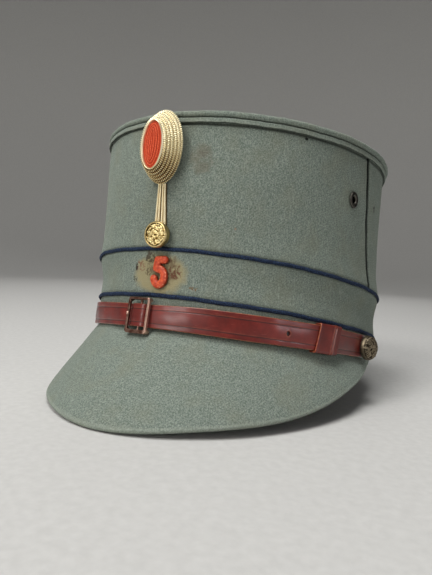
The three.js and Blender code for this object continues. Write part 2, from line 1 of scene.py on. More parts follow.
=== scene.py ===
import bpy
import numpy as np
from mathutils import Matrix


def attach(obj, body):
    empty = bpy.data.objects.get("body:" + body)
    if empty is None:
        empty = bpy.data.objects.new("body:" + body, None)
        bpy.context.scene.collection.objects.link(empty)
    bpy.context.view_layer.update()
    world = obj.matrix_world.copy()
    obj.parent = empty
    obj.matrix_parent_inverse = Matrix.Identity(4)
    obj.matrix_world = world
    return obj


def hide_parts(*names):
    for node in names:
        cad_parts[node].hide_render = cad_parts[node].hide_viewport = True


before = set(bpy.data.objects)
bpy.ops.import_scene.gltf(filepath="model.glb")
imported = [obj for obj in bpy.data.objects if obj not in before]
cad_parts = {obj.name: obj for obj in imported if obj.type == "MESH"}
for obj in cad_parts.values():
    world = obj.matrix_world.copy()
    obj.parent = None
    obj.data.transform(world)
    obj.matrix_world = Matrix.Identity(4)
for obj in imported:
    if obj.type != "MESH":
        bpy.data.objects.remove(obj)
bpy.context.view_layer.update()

# Looks of a stiff military kepi: mixed grey-green wool over a stiff wall, navy cord pipings, a
# creased leather chin strap with a bronze buckle, gilt cord trim and brass buttons.
#
# Shapes are drawn with the cap upright, in millimetres: +Z up the head, -Y the front, +X the
# wearer's left, z = 0 near the strap's middle. Angles are in degrees round the head: 0 at the
# front, 90 at the wearer's left. stand_up() then tips each point back as the cap stands on a
# table, and turns it to metres.

# ---- Dimensions, the same as the solid part's ---------------------------------------------------

STAND_TILT = 0.19890193  # radians, tipped back onto the lip of the peak
STAND_AT = (-1.4565, 17.1975, 26.1350)

# level, half length, half width, shift back, aside to the left, rise to the back, bow at the sides
WALL = np.array([
    (-6, 102.5, 87.2, 0.0, 1.6, 0.0, 0.0),
    (11.8, 104.0, 89.8, -2.2, 1.3, -0.01, 0.1),
    (24, 104.2, 90.0, -3.4, 0.8, -0.004, 0.1),
    (37.6, 105.0, 91.4, -4.6, 0.2, 0.005, 0.0),
    (52, 104.2, 89.6, -7.3, 0.0, 0.022, 0.2),
    (79, 104.2, 88.6, -11.5, 0.0, 0.055, 0.8),
    (112, 104.4, 88.6, -15.0, 0.1, 0.1, 1.6),
    (121, 104.4, 88.7, -15.0, 0.7, 0.106, 1.7),
])
HEM, LOWER_PIPING, BAND_SEAM, CROWN_FOOT, CROWN_TOP = -6.0, 11.8, 37.6, 37.9, 116.9
BAND_THICK, CROWN_THICK = 3.0, 2.6
FOLD_LOW, FOLD_HIGH = 113.9, 116.7
MM_PER_DEGREE = 1.62  # along the wall, near the side seam

# angle, reach from the hem, drop below z = 0, of the peak's lip
PEAK_LIP = np.array([
    (-88, 2.7, 4.7), (-70, 10.6, 17.9), (-45, 21.4, 39.4), (-22, 32.4, 48.7), (0, 39.4, 53.2),
    (22, 32.4, 46.6), (45, 21.4, 36.2), (70, 10.6, 17.4), (88, 2.7, 4.7),
])
PEAK_THICK, PEAK_LENGTH, PEAK_BOW, PEAK_END = 2.6, 65.0, 0.8, 88.0

# angle, level of the strap's foot, level of its top edge, how far its foot stands out further
STRAP_EDGES = np.array([
    (-95, -1.4, 10.4, 1.9), (-65, -3.3, 9.8, 2.2), (-30, -4.5, 8.1, 2.3), (-4, -4.5, 7.4, 2.5),
    (14, -4.5, 8.5, 2.4), (32, -4.5, 8.9, 2.3), (65, -3.3, 10.0, 2.2), (95, -1.4, 10.4, 1.9),
])
STRAP_WIDTH, STRAP_THICK, STRAP_OUT, STRAP_LAYER = 12.4, 1.3, 0.4, 1.6
BUCKLE_ANGLE, KEEPER_FROM, KEEPER_TO, KEEPER_LIFT = -5.15, 52.6, 61.2, 1.3
HOLE_ANGLE, HOLE_HEIGHT, HOLE_MM_PER_DEGREE, HOLE_SQUEEZE = 43.0, 6.1, 1.72, 0.92
KEEPER_MM_PER_DEGREE, KEEPER_INSIDE = 1.66, 13.0  # along the strap, and clear height inside
STRAP_BUTTON_ANGLE = 79.5
EYELET_ANGLE, EYELET_LEVEL, EYELET_SQUEEZE = 69.2, 85.8, 0.87
SIDES = ((1, "left"), (-1, "right"))  # of the wearer

LOOP_FACE = 2.0  # how far the loop's front stands out from the crown
LOOP_FOOT, LOOP_TOP, LOOP_HALF_LOW, LOOP_HALF_HIGH = 49.0, 76.5, 3.8, 2.35
# out from the loop, half height, half width of the cockade's oval
COCKADE_RINGS = np.array([
    (0.0, 17.8, 10.8), (0.8, 18.4, 11.4), (2.6, 17.9, 11.1),
    (5.6, 16.2, 9.7), (9.0, 14.1, 8.1), (12.0, 12.3, 6.6),
])

NEARLY_SAME = 0.45  # of the finest step

# ---- Curves -------------------------------------------------------------------------------------


def through_rows(table, x):
    """The other columns of a table at x: a cubic between each two rows that meets both, with each
    row's slope taken from its two neighbours. Beyond the table it holds the end row."""
    keys, rows = table[:, 0], table[:, 1:]
    last = len(keys) - 1
    before = np.maximum(np.arange(last + 1) - 1, 0)
    after = np.minimum(np.arange(last + 1) + 1, last)
    slope = (rows[after] - rows[before]) / (keys[after] - keys[before])[:, None]
    i = np.clip(np.searchsorted(keys, x, side="right") - 1, 0, last - 1)
    span = (keys[i + 1] - keys[i])[..., None]
    u = np.clip((np.asarray(x)[..., None] - keys[i][..., None]) / span, 0, 1)
    blend = u * u * (3 - 2 * u)
    bend = span * (u * (1 - u) ** 2 * slope[i] - u * u * (1 - u) * slope[i + 1])
    return np.moveaxis(rows[i] * (1 - blend) + rows[i + 1] * blend + bend, -1, 0)


def wall(angle, level, out=0.0):
    """The wall's outer face: at each level an oval, x = half width * sin(angle) and
    y = shift - half length * cos(angle), moved aside, its plane rising to the back and bowed up
    at the sides, and pushed along its own level normal by out."""
    angle, level, out = np.broadcast_arrays(
        np.asarray(angle, float), np.asarray(level, float), np.asarray(out, float))
    t = np.radians(angle)
    half_length, half_width, shift, aside, rise, bow = through_rows(WALL, level)
    x, y = half_width * np.sin(t), shift - half_length * np.cos(t)
    nx, ny = np.sin(t) / half_width, -np.cos(t) / half_length
    size = np.hypot(nx, ny)
    z = level + rise * y + bow * np.sin(t) ** 2
    return np.stack([x + aside + nx / size * out, y + ny / size * out, z], -1)


def unit(v):
    """Vectors drawn in or out to length 1."""
    return v / np.linalg.norm(v, axis=-1, keepdims=True)


def wall_axes(angle, level):
    """At a point of the wall: the directions right round the head, up the wall and straight out,
    from small steps to each side, and the point itself."""
    step = 0.05
    right = unit(wall(angle + step, level) - wall(angle - step, level))
    climb = wall(angle, level + step) - wall(angle, level - step)
    outward = unit(np.cross(right, climb))
    return right, np.cross(outward, right), outward, wall(angle, level)


def turning(axis, degrees):
    """The matrix that turns points round an axis: 0 for X, 1 for Y and 2 for Z."""
    c, s = np.cos(np.radians(degrees)), np.sin(np.radians(degrees))
    a, b = ((1, 2), (2, 0), (0, 1))[axis]
    matrix = np.eye(3)
    matrix[a, a], matrix[a, b], matrix[b, a], matrix[b, b] = c, -s, s, c
    return matrix


def on_wall(points, angle, level, out, droop=0.0, turn=0.0):
    """Stands points drawn along +Z on the wall, +Y up it: tipped down by droop, then rolled
    clockwise by turn, both in degrees."""
    right, up, outward, at = wall_axes(angle, level)
    axes = np.stack([right, up, outward], -1) @ turning(0, droop) @ turning(2, -turn)
    return points @ axes.T + at + outward * out


def strap_at(angle, share, out):
    """A point of the strap: share runs from 0 at its foot to 1 at its top edge, straight up
    between their two levels, and out is counted from the wall, plus what its foot stands out."""
    foot, top, foot_out = through_rows(STRAP_EDGES, angle)
    level = foot + (top - foot) * share
    point = wall(angle, level, out + foot_out * (1 - share))
    point[..., 2] = level
    return point


def on_strap(points, angle, out, lower=0.0, turn=0.0):
    """Lays points drawn along +Z on the strap's slanting face at its middle height, or lower by
    some mm, turned about their own +Y by turn degrees."""
    angle = np.float64(angle)
    foot, top = strap_at(angle, 0.0, 0.0), strap_at(angle, 1.0, 0.0)
    right = wall_axes(angle, 0.0)[0]
    outward = unit(np.cross(right, top - foot))
    up = np.cross(outward, right)
    axes = np.stack([right, up, outward], -1) @ turning(1, turn)
    return points @ axes.T + (foot + top) / 2 + outward * out - up * lower


def smoothstep(x, low, high):
    """0 up to low, 1 from high on, and 3 u squared - 2 u cubed between them."""
    u = np.clip((x - low) / (high - low), 0, 1)
    return u * u * (3 - 2 * u)


def bell(distance, width):
    """1 at no distance, fading to nothing as exp(-(distance / width) squared)."""
    return np.exp(-(distance / width) ** 2)


def dent(distance, depth, width):
    """A soft trough: a bell turned down, as deep as depth."""
    return -depth * bell(distance, width)


def half_round(part):
    """The height of a half circle at each part, from 0 to 1, of the way across it."""
    return np.sqrt(1 - (2 * part - 1) ** 2)


def squarish(turn, high, deep, high_power=1.0, deep_power=1.0):
    """A section round a welt: high * sin(turn) and deep * cos(turn), an oval that powers under 1
    make squarer."""
    s, c = np.sin(turn), np.cos(turn)
    return high * np.sign(s) * np.abs(s) ** high_power, deep * np.sign(c) * np.abs(c) ** deep_power


def points_of(x, y, z):
    """Points from three arrays that broadcast together."""
    return np.stack(np.broadcast_arrays(x, y, z), -1)


def waves(angle, level, rows):
    """A sum of sine waves round the head. Each row has its whole cycles round, its radians for
    each mm up, its phase and its height."""
    return sum(
        height * np.sin(np.radians(cycles * angle) + climb * level + phase)
        for cycles, climb, phase, height in rows)


def spaced(low, high, step, fine=()):
    """Samples from low to high about a step apart, and closer near each fine place, which is
    given as its middle, reach and step. A sample that nearly repeats another is dropped."""
    parts = [np.linspace(low, high, round((high - low) / step) + 1)]
    closest = min([step] + [close for _, _, close in fine])
    for middle, reach, close in fine:
        near = np.arange(middle - reach, middle + reach + close / 2, close)
        parts.append(near[(near > low) & (near < high)])
    samples = np.sort(np.concatenate(parts))
    kept = samples[np.append(True, np.diff(samples) > closest * NEARLY_SAME)]
    kept[0], kept[-1] = low, high
    return kept


def slab_outline(low, high, thick, radius, faces, backs=6):
    """A closed outline of a sheet seen on edge, as heights and depths: up its face at depth 0
    through the given places, over a rounded top edge, down its back at -thick, and round its
    foot. Each edge is a pair of quarter circles."""
    u = np.radians([0, 22.5, 45, 67.5, 90])
    face = faces[(faces > low + radius) & (faces < high - radius)]
    back = np.linspace(high - radius, low + radius, backs + 1)[1:-1]
    height = [low + radius * (1 - np.cos(u)), face, high - radius * (1 - np.sin(u)),
              high - radius * (1 - np.cos(u)), back, low + radius * (1 - np.sin(u))]
    depth = [-radius * (1 - np.sin(u)), 0 * face, -radius * (1 - np.cos(u)),
             -thick + radius * (1 - np.sin(u)), 0 * back - thick,
             -thick + radius * (1 - np.cos(u))]
    return np.concatenate(height), np.concatenate(depth)


# ---- Skins and pieces ---------------------------------------------------------------------------


def skin(grid, ends, worn=0.0):
    """A closed surface over rows of points, each row a closed outline. "ring" joins the last row
    to the first, "flat" closes each end row with one face, and "pole" gathers it to its middle.
    Faces are turned outwards by the sign of the volume. Each point keeps its value of wear and
    painted shade."""
    rows, across = grid.shape[:2]
    points = grid.reshape(-1, 3)
    values = np.broadcast_to(worn, (rows, across)).reshape(-1)
    i = np.arange(rows if ends == "ring" else rows - 1)[:, None]
    j = np.arange(across)
    here, there = i * across, (i + 1) % rows * across
    following = (j + 1) % across
    faces = [np.stack([here + j, there + j, there + following, here + following], -1)]
    last = (rows - 1) * across
    if ends == "flat":
        faces += [j, (last + j)[::-1]]
    if ends == "pole":
        points = np.concatenate([points, grid[[0, -1]].mean(axis=1)])
        values = np.append(values, [values[:across].mean(), values[-across:].mean()])
        first_pole = np.full(across, rows * across)
        faces += [np.stack([j, following, first_pole], -1),
                  np.stack([last + following, last + j, first_pole + 1], -1)]
    faces = [f.reshape(-1, f.shape[-1]) for f in faces]
    volume = 0.0
    for f in faces:
        for k in range(1, f.shape[1] - 1):
            a, b, c = points[f[:, 0]], points[f[:, k]], points[f[:, k + 1]]
            volume += np.einsum("ij,ij->", a - points[0], np.cross(b - points[0], c - points[0]))
    if volume < 0:
        faces = [f[:, ::-1] for f in faces]
    return points, faces, values


def stand_up(points):
    """Tips points in millimetres back by the stand's tilt, moves them there, and gives metres."""
    return (points @ turning(0, -np.degrees(STAND_TILT)).T + STAND_AT) / 1000


def make_piece(name, skins, material, node_name, crease=40):
    """One object from closed skins. It rides on the root, stands for a CAD node, and edges
    sharper than crease degrees stay sharp."""
    points = stand_up(np.concatenate([s[0] for s in skins]))
    starts = np.cumsum([0] + [len(s[0]) for s in skins])
    faces = [row for s, start in zip(skins, starts) for f in s[1] for row in (f + start).tolist()]
    mesh = bpy.data.meshes.new(name)
    mesh.from_pydata(points.tolist(), [], faces)
    mesh.shade_smooth()
    mesh.set_sharp_from_angle(angle=np.radians(crease))
    worn = mesh.attributes.new("worn", "FLOAT", "POINT")
    worn.data.foreach_set("value", np.concatenate([s[2] for s in skins]).astype(np.float32))
    mesh.materials.append(material)
    piece = bpy.data.objects.new(name, mesh)
    bpy.context.scene.collection.objects.link(piece)
    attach(piece, "root")
    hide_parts(node_name)


# ---- Finishes -----------------------------------------------------------------------------------


def linear(hex_colour):
    """An sRGB hex colour as linear red, green, blue and alpha."""
    c = np.array([int(hex_colour[i:i + 2], 16) for i in (1, 3, 5)]) / 255
    c = np.where(c <= 0.04045, c / 12.92, ((c + 0.055) / 1.055) ** 2.4)
    return (*c.tolist(), 1.0)


MIX_A, MIX_B, MIX_OUT = 6, 7, 2  # the colour sockets of a Mix node


def add_node(tree, kind, settings=None, links=None):
    """Adds one shader node. settings holds its properties, its ramp's stops, and its inputs'
    values by name or number; links holds the output that feeds each input."""
    made = tree.nodes.new("ShaderNode" + kind)
    for key, value in (settings or {}).items():
        if key == "stops":
            ramp = made.color_ramp.elements
            while len(ramp) < len(value):
                ramp.new(0.5)
            for stop, (position, colour) in zip(ramp, value):
                stop.position = position
                stop.color = colour if isinstance(colour, tuple) else (colour,) * 3 + (1,)
        elif isinstance(key, str) and hasattr(made, key):
            setattr(made, key, value)
        else:
            made.inputs[key].default_value = value
    for key, source in (links or {}).items():
        tree.links.new(source, made.inputs[key])
    return made


def new_material(name, settings):
    """A material with one Principled shader, whose sockets take the settings. Gives the material,
    its tree, its shader and the place of each point."""
    material = bpy.data.materials.new(name)
    material.use_nodes = True
    tree = material.node_tree
    tree.nodes.clear()
    shader = add_node(tree, "BsdfPrincipled", settings)
    add_node(tree, "OutputMaterial", links={"Surface": shader.outputs[0]})
    return material, tree, shader, add_node(tree, "TexCoord").outputs["Object"]


def mottled(tree, place, size, detail, roughness, stops):
    """A colour that wanders through the stops as a noise does, whose marks are size mm wide.
    Gives the colour and the noise."""
    noise = add_node(tree, "TexNoise", {
        "Scale": 1000 / size, "Detail": detail, "Roughness": roughness},
        {"Vector": place}).outputs["Fac"]
    stops = [(position, linear(tone)) for position, tone in stops]
    return add_node(tree, "ValToRGB", {"stops": stops}, {"Fac": noise}).outputs["Color"], noise


def over(tree, below, tone, source, low=0.0, high=1.0, amount=1.0):
    """The colour below with a tone laid over it: not at all where the source is at low, and by
    the amount where it is at high."""
    mask = add_node(tree, "MapRange", {1: low, 2: high, 3: 0.0, 4: amount},
                    {"Value": source}).outputs[0]
    return add_node(tree, "Mix", {"data_type": "RGBA", MIX_B: linear(tone)},
                    {0: mask, MIX_A: below}).outputs[MIX_OUT]


def dress(tree, shader, colour, height, strength, depth, rough=None):
    """Gives the shader its colour, a fine relief that is depth metres deep, and a roughness."""
    bump = add_node(tree, "Bump", {"Strength": strength, "Distance": depth}, {"Height": height})
    tree.links.new(colour, shader.inputs["Base Color"])
    tree.links.new(bump.outputs[0], shader.inputs["Normal"])
    if rough is not None:
        tree.links.new(rough, shader.inputs["Roughness"])


def mixed_wool(name, dark, middle, light, warm, stains=()):
    """Fulled wool from grey, green and brown fibres: fine dark and light specks, single pale
    hairs lying two ways, soft warmer areas, and a faint nap that catches light at the edges.
    Fibres are about 0.02 mm thick, too fine to show, so specks are drawn 0.65 mm wide."""
    material, tree, shader, place = new_material(name, {
        "Roughness": 0.93, "Sheen Weight": 0.22, "Sheen Roughness": 0.45,
        "Sheen Tint": linear("#c9d2c6"), "Specular IOR Level": 0.25})
    colour, specks = mottled(tree, place, 0.65, 3.0, 0.6,
                             [(0.36, dark), (0.5, middle), (0.64, light)])
    areas = add_node(tree, "TexNoise", {"Scale": 1 / 0.016, "Detail": 4.0, "Roughness": 0.55},
                     {"Vector": place}).outputs["Fac"]
    colour = over(tree, colour, warm, areas, 0.46, 0.74, 0.5)
    height = specks
    for turn, stretch in (((0.3, 0.6, 0.9), (1.0, 1.0, 0.16)),
                          ((1.2, -0.5, 2.2), (0.16, 1.0, 1.0))):
        along = add_node(tree, "Mapping", {"Rotation": turn, "Scale": stretch}, {"Vector": place})
        hairs = add_node(tree, "TexNoise", {"Scale": 1 / 0.0007, "Detail": 1.0},
                         {"Vector": along.outputs[0]}).outputs["Fac"]
        colour = over(tree, colour, "#9aa297", hairs, 0.6, 0.72, 0.42)
        height = add_node(tree, "Math", {"operation": "ADD"}, {0: height, 1: hairs}).outputs[0]
    # The twill shows faintly through the nap, as slanting ribs a little over 1 mm apart.
    slant = add_node(tree, "Mapping", {"Rotation": (0.0, 0.7, 0.0)}, {"Vector": place})
    ribs = add_node(tree, "TexWave", {
        "bands_direction": "Z", "Scale": 0.314 / 0.0012, "Distortion": 2.5, "Detail": 2.0,
        "Detail Scale": 1.5}, {"Vector": slant.outputs[0]}).outputs["Fac"]
    colour = over(tree, colour, dark, ribs, 0.6, 0.0, 0.22)
    # Stains: soft ovals, each broken up by a noise of its own size. Their edges are ragged,
    # except on the smallest.
    if stains:
        ragged = add_node(tree, "TexNoise", {"Scale": 1 / 0.004, "Detail": 4.0}, {"Vector": place})
        shaken = add_node(tree, "MixRGB", {"blend_type": "LINEAR_LIGHT", "Fac": 0.0035},
                          {"Color1": place, "Color2": ragged.outputs["Color"]}).outputs[0]
    for angle, level, half_width, half_height, grain, low, high, strength, tone in stains:
        local = add_node(tree, "Mapping", {
            "vector_type": "TEXTURE", "Location": stand_up(wall(float(angle), float(level))),
            "Rotation": (0.0, 0.0, np.radians(angle)),
            "Scale": (half_width / 1000, STAIN_DEEP / 1000, half_height / 1000)},
            {"Vector": shaken if half_width > 1.2 else place})
        reach = add_node(tree, "VectorMath", {"operation": "LENGTH"}, {0: local.outputs[0]})
        inside = add_node(tree, "MapRange", {1: 1.08, 2: 0.8, 3: 0.0, 4: strength},
                          {"Value": reach.outputs["Value"]}).outputs[0]
        grit = add_node(tree, "TexNoise", {"Scale": 1000 / grain, "Detail": 3.0},
                        {"Vector": place}).outputs["Fac"]
        broken = add_node(tree, "MapRange", {1: low, 2: high, 3: 0.0, 4: 1.0},
                          {"Value": grit}).outputs[0]
        mask = add_node(tree, "Math", {"operation": "MULTIPLY"}, {0: inside, 1: broken}).outputs[0]
        colour = over(tree, colour, tone, mask)
    # Folded edges are rubbed paler, and the rim roll's upper edge is painted paler as a highlight.
    # A value below zero is painted shade: dark in the seams, under the rim's fold, between the roll
    # and the fold, and over the eyelet holes.
    worn = add_node(tree, "Attribute", {"attribute_name": "worn"}).outputs["Fac"]
    colour = over(tree, colour, "#a2a89b", worn, amount=0.35)
    colour = over(tree, colour, "#1c201c", worn, high=-1.0)
    dress(tree, shader, colour, height, 0.45, 0.0003)
    return material


def wool_cord(name, dark, middle, light, grain):
    """A cord of spun wool: fine fibre specks of the grain's size, and painted shade in its hollows.
    """
    material, tree, shader, place = new_material(name, {
        "Roughness": 0.9, "Sheen Weight": 0.2, "Sheen Roughness": 0.4,
        "Sheen Tint": linear(light), "Specular IOR Level": 0.25})
    colour, specks = mottled(tree, place, grain, 3.0, 0.6,
                             [(0.36, dark), (0.52, middle), (0.7, light)])
    # A value above zero is painted shade here: hollows and sides where the cord tucks in darken to
    # its dark tone.
    hollow = add_node(tree, "Attribute", {"attribute_name": "worn"}).outputs["Fac"]
    dress(tree, shader, over(tree, colour, dark, hollow), specks, 0.5, 0.0002)
    return material


def strap_leather(name):
    """Bridle leather, red-brown and waxed: a mottled dye, fine pores, long scratches along the
    strap, a gloss broken by handling, and raw orange where edges and creases are rubbed."""
    material, tree, shader, place = new_material(name, {
        "Specular IOR Level": 0.4, "Coat Weight": 0.5, "Coat Roughness": 0.24})
    colour, dye = mottled(tree, place, 9, 5.0, 0.6,
                          [(0.3, "#521009"), (0.5, "#65160d"), (0.72, "#772015")])
    pores = add_node(tree, "TexVoronoi", {"Scale": 1 / 0.0006}, {"Vector": place})
    # Scratches run level, as the strap does, so the noise is squeezed up and down.
    level_lines = add_node(tree, "Mapping", {"Scale": (0.12, 0.12, 1.6)}, {"Vector": place})
    scratches = add_node(tree, "TexNoise", {"Scale": 1 / 0.0008, "Detail": 2.0},
                         {"Vector": level_lines.outputs[0]}).outputs["Fac"]
    colour = over(tree, colour, "#964a40", scratches, 0.66, 0.74, 0.5)
    rubbed = add_node(tree, "Attribute", {"attribute_name": "worn"}).outputs["Fac"]
    patchy = add_node(tree, "TexNoise", {"Scale": 1 / 0.003, "Detail": 4.0},
                      {"Vector": place}).outputs["Fac"]
    patchy = add_node(tree, "MapRange", {1: 0.35, 2: 0.6, 3: 0.25, 4: 1.0},
                      {"Value": patchy}).outputs[0]
    raw = add_node(tree, "Math", {"operation": "MULTIPLY"}, {0: rubbed, 1: patchy}).outputs[0]
    colour = over(tree, colour, "#bb744c", raw)
    # A value below zero is painted shade: a dark line in each crease and a dark pit for the punched
    # hole.
    colour = over(tree, colour, "#1d0a07", rubbed, high=-1.0)
    gloss = add_node(tree, "MapRange", {1: 0.3, 2: 0.75, 3: 0.42, 4: 0.5},
                     {"Value": dye}).outputs[0]
    height = add_node(tree, "Math", {"operation": "ADD"},
                      {0: pores.outputs["Distance"], 1: scratches}).outputs[0]
    dress(tree, shader, colour, height, 0.16, 0.00015, gloss)
    return material


def aged_metal(name, bare, film, grime_and_shade, roughness, film_amount, metallic=1.0):
    """A cast or stamped copper alloy: bare metal on raised edges, a darker film over flat parts
    in clouds, and grime in its hollows; the same dark tone also serves as painted shade on the
    buckle, the cockade and the eyelets. Roughness follows the film."""
    material, tree, shader, place = new_material(name, {"Metallic": metallic})
    clouds = add_node(tree, "TexNoise", {"Scale": 1 / 0.0036, "Detail": 6.0, "Roughness": 0.65},
                      {"Vector": place}).outputs["Fac"]
    film_mask = add_node(tree, "MapRange", {
        1: 0.35, 2: 0.65, 3: film_amount * 0.4, 4: film_amount}, {"Value": clouds}).outputs[0]
    worn = add_node(tree, "Attribute", {"attribute_name": "worn"}).outputs["Fac"]
    kept = add_node(tree, "Math", {"operation": "SUBTRACT", "use_clamp": True},
                    {0: film_mask, 1: worn}).outputs[0]
    colour = add_node(tree, "Mix", {
        "data_type": "RGBA", MIX_A: linear(bare), MIX_B: linear(film)}, {0: kept}).outputs[MIX_OUT]
    # A value below zero darkens to the grime tone: real grime in hollows, and painted shade where a
    # piece sets it.
    hollow = add_node(tree, "Math", {"operation": "MULTIPLY", 1: -1.0, "use_clamp": True},
                      {0: worn}).outputs[0]
    colour = over(tree, colour, grime_and_shade, hollow)
    grit = add_node(tree, "TexNoise", {"Scale": 1 / 0.00048, "Detail": 3.0},
                    {"Vector": place}).outputs["Fac"]
    dull = add_node(tree, "Math", {"operation": "ADD"}, {0: clouds, 1: hollow}).outputs[0]
    rough = add_node(tree, "MapRange", {1: 0.3, 2: 1.4, 3: roughness, 4: roughness + 0.35},
                     {"Value": dull}).outputs[0]
    dress(tree, shader, colour, grit, 0.2, 0.0001, rough)
    return material


def worn_paint(name):
    """Thick orange-red paint over a stamped figure: brush mottling, chips that show pale ground
    along its raised edges, and a darker red-brown along its outer edge and foot."""
    material, tree, shader, place = new_material(name, {"Specular IOR Level": 0.5})
    colour, mottle = mottled(tree, place, 1.4, 4.0, 0.5,
                             [(0.25, "#8f2d10"), (0.5, "#c9441e"), (0.75, "#df6a38")])
    worn = add_node(tree, "Attribute", {"attribute_name": "worn"}).outputs["Fac"]
    chips = add_node(tree, "MapRange", {1: 0.48, 2: 0.62, 3: 0.0, 4: 1.0},
                     {"Value": mottle}).outputs[0]
    chipped = add_node(tree, "Math", {"operation": "MULTIPLY"}, {0: worn, 1: chips}).outputs[0]
    colour = over(tree, colour, "#f0b493", chipped)
    colour = over(tree, colour, "#5a2114", worn, high=-1.0)
    rough = add_node(tree, "MapRange", {1: 0.3, 2: 0.7, 3: 0.4, 4: 0.65},
                     {"Value": mottle}).outputs[0]
    dress(tree, shader, colour, mottle, 0.4, 0.0002, rough)
    return material


CLOTH = {"dark": "#5a645b", "middle": "#717b72", "light": "#899288", "warm": "#777967"}
STAIN_DEEP = 12.0  # mm into the wall
# angle, level, half width and half height in mm, grain in mm, noise from and to, strength, tone
BAND_STAINS = [
    (-0.6, 23.6, 17.0, 11.5, 7.0, 0.12, 0.36, 0.85, "#968c68"),
    (1.2, 25.5, 9.0, 8.0, 2.5, 0.36, 0.56, 0.8, "#665640"),
    (5.2, 24.8, 4.2, 3.8, 1.4, 0.47, 0.57, 0.85, "#5f3526"),
    (3.6, 31.5, 4.6, 2.4, 1.8, 0.42, 0.55, 0.6, "#51382c"),
    (-4.2, 32.5, 4.0, 3.2, 2.0, 0.36, 0.52, 0.8, "#37291f"),
    (-4.8, 24.5, 1.8, 4.5, 1.2, 0.42, 0.55, 0.7, "#4a3a2a"),
    (-8.6, 27.6, 3.6, 3.0, 1.4, 0.42, 0.56, 0.75, "#744032"),
    (-10.4, 27.2, 0.9, 2.2, 1.0, 0.36, 0.48, 0.9, "#1d1713"),
    (-10.6, 20.0, 1.8, 1.6, 1.0, 0.46, 0.55, 0.75, "#33332b"),
    (12.4, 16.6, 1.9, 1.3, 0.9, 0.42, 0.5, 0.8, "#6c5033"),
]
CROWN_STAINS = [
    (12.7, 92.5, 6.5, 9.0, 5.0, 0.25, 0.6, 0.45, "#625847"),
    (13.5, 96.0, 2.4, 2.0, 1.4, 0.4, 0.6, 0.3, "#57463a"),
    (25.1, 53.1, 0.6, 0.7, 3.0, 0.1, 0.3, 0.4, "#96603c"),
    (46.6, 112.2, 1.1, 0.9, 3.0, 0.1, 0.2, 0.95, "#0c0e0c"),
]
MOTH_HOLES = [
    (86.2, 88.6, 2.3, 0.9, 3.0, 0.0, 0.1, 0.95, "#0d0f0d"),
    (86.6, 87.6, 1.1, 2.2, 3.0, 0.0, 0.1, 0.95, "#0d0f0d"),
]
wool = mixed_wool("fulled_grey_green_wool", **CLOTH)
band_wool = mixed_wool("stained_grey_green_wool", **CLOTH, stains=BAND_STAINS)
crown_wool = mixed_wool("spotted_grey_green_wool", **CLOTH, stains=CROWN_STAINS)
moth_wool = mixed_wool("mothed_grey_green_wool", **CLOTH, stains=MOTH_HOLES)
navy_cord = wool_cord("navy_wool_piping", "#0a0f18", "#1a2740", "#3c506c", 0.5)
seam_thread = wool_cord("dark_linen_thread", "#0d0f0d", "#20241f", "#3a4038", 0.3)
orange_cord = wool_cord("orange_silk_cord", "#a8260d", "#e65c36", "#ff9c78", 0.2)
leather = strap_leather("waxed_bridle_leather")
bronze = aged_metal("aged_cast_bronze", "#d8b2a0", "#5a3a2f", "#140c09", 0.36, 0.95)
old_brass = aged_metal("tarnished_stamped_brass", "#a3957c", "#4b4237", "#0c0a08", 0.42, 0.97)
gilt_brass = aged_metal("rubbed_gilt_brass", "#ecd8a0", "#a98a4a", "#2b1f0b", 0.3, 0.8)
bullion = aged_metal("gilt_bullion_cord", "#fff3cc", "#f4d48c", "#5a3406", 0.27, 0.5, 0.65)
enamel = worn_paint("chipped_orange_paint")
japanned = aged_metal("black_japanned_steel", "#77736a", "#22211f", "#060606", 0.36, 1.0)

# ---- Crown and band -----------------------------------------------------------------------------

RIPPLES = [(3, 0.02, 0.4, 0.22), (7, -0.05, 1.9, 0.14), (13, 0.09, 2.2, 0.08),
           (29, -0.21, 0.7, 0.05), (47, 0.33, 4.1, 0.035)]


def tucks(level, places):
    """How cloth is drawn in at its seams: a soft trough at the level of each place, as deep and
    wide as the place says."""
    return sum(dent(level - at, depth, width) for at, depth, width in places)


BAND_TUCKS = [(LOWER_PIPING, 0.55, 1.5), (BAND_SEAM, 0.8, 1.3), (HEM, 0.3, 2.0)]


def band_relief(angle, level):
    """Ripples and tucks, and a hollow between the two pipings as half a sine wave, 0.2 mm deep in
    front and 1 mm at the sides and back."""
    between = np.clip((level - LOWER_PIPING) / (BAND_SEAM - LOWER_PIPING), 0, 1)
    hollow = (0.2 + 0.8 * smoothstep(np.abs(angle), 15, 50)) * np.sin(np.pi * between)
    return waves(angle, level, RIPPLES) * 0.7 + tucks(level, BAND_TUCKS) - hollow


def band():
    """The head band as a closed shell: the sheet's outline between its two levels, carried round
    the head. The relief is added in full on its face and fades to none on its back."""
    angles = np.arange(-180, 180, 0.75)[:, None]
    level, depth = slab_outline(HEM, BAND_SEAM, BAND_THICK, 0.7, spaced(
        HEM, BAND_SEAM, 1.2, [(LOWER_PIPING, 3, 0.5), (BAND_SEAM, 3, 0.5)]))
    level = np.broadcast_to(level, (len(angles), len(level)))
    push = band_relief(angles, level) * (1 + depth / BAND_THICK)
    return skin(wall(angles, level, depth + push), "ring",
                0.6 * (depth < 0) * (depth > -BAND_THICK))


make_piece("band_cloth", [band()], band_wool, "head_band")


def seam_angle(level):
    """The side seam leans forward as it climbs, and wanders a little as sewn by hand."""
    climb = (level - BAND_SEAM) / (CROWN_TOP - BAND_SEAM)
    return 82.0 - 5.0 * climb + 0.18 * np.sin(level / 6.5) + 0.12 * np.sin(level / 2.7 + 1)


CROWN_TUCKS = [(CROWN_FOOT, 0.8, 1.3), (FOLD_LOW, 0.5, 1.0)]
SEAM_HALF_GAP = 0.16  # degrees
HOLE_RADIUS, MEMBRANE = 2.2, 0.2  # of the eyelet's hole, and the cloth left at its middle
REACH_AT_EYELET = 79.5  # degrees from the front to the seam, at the eyelet's level


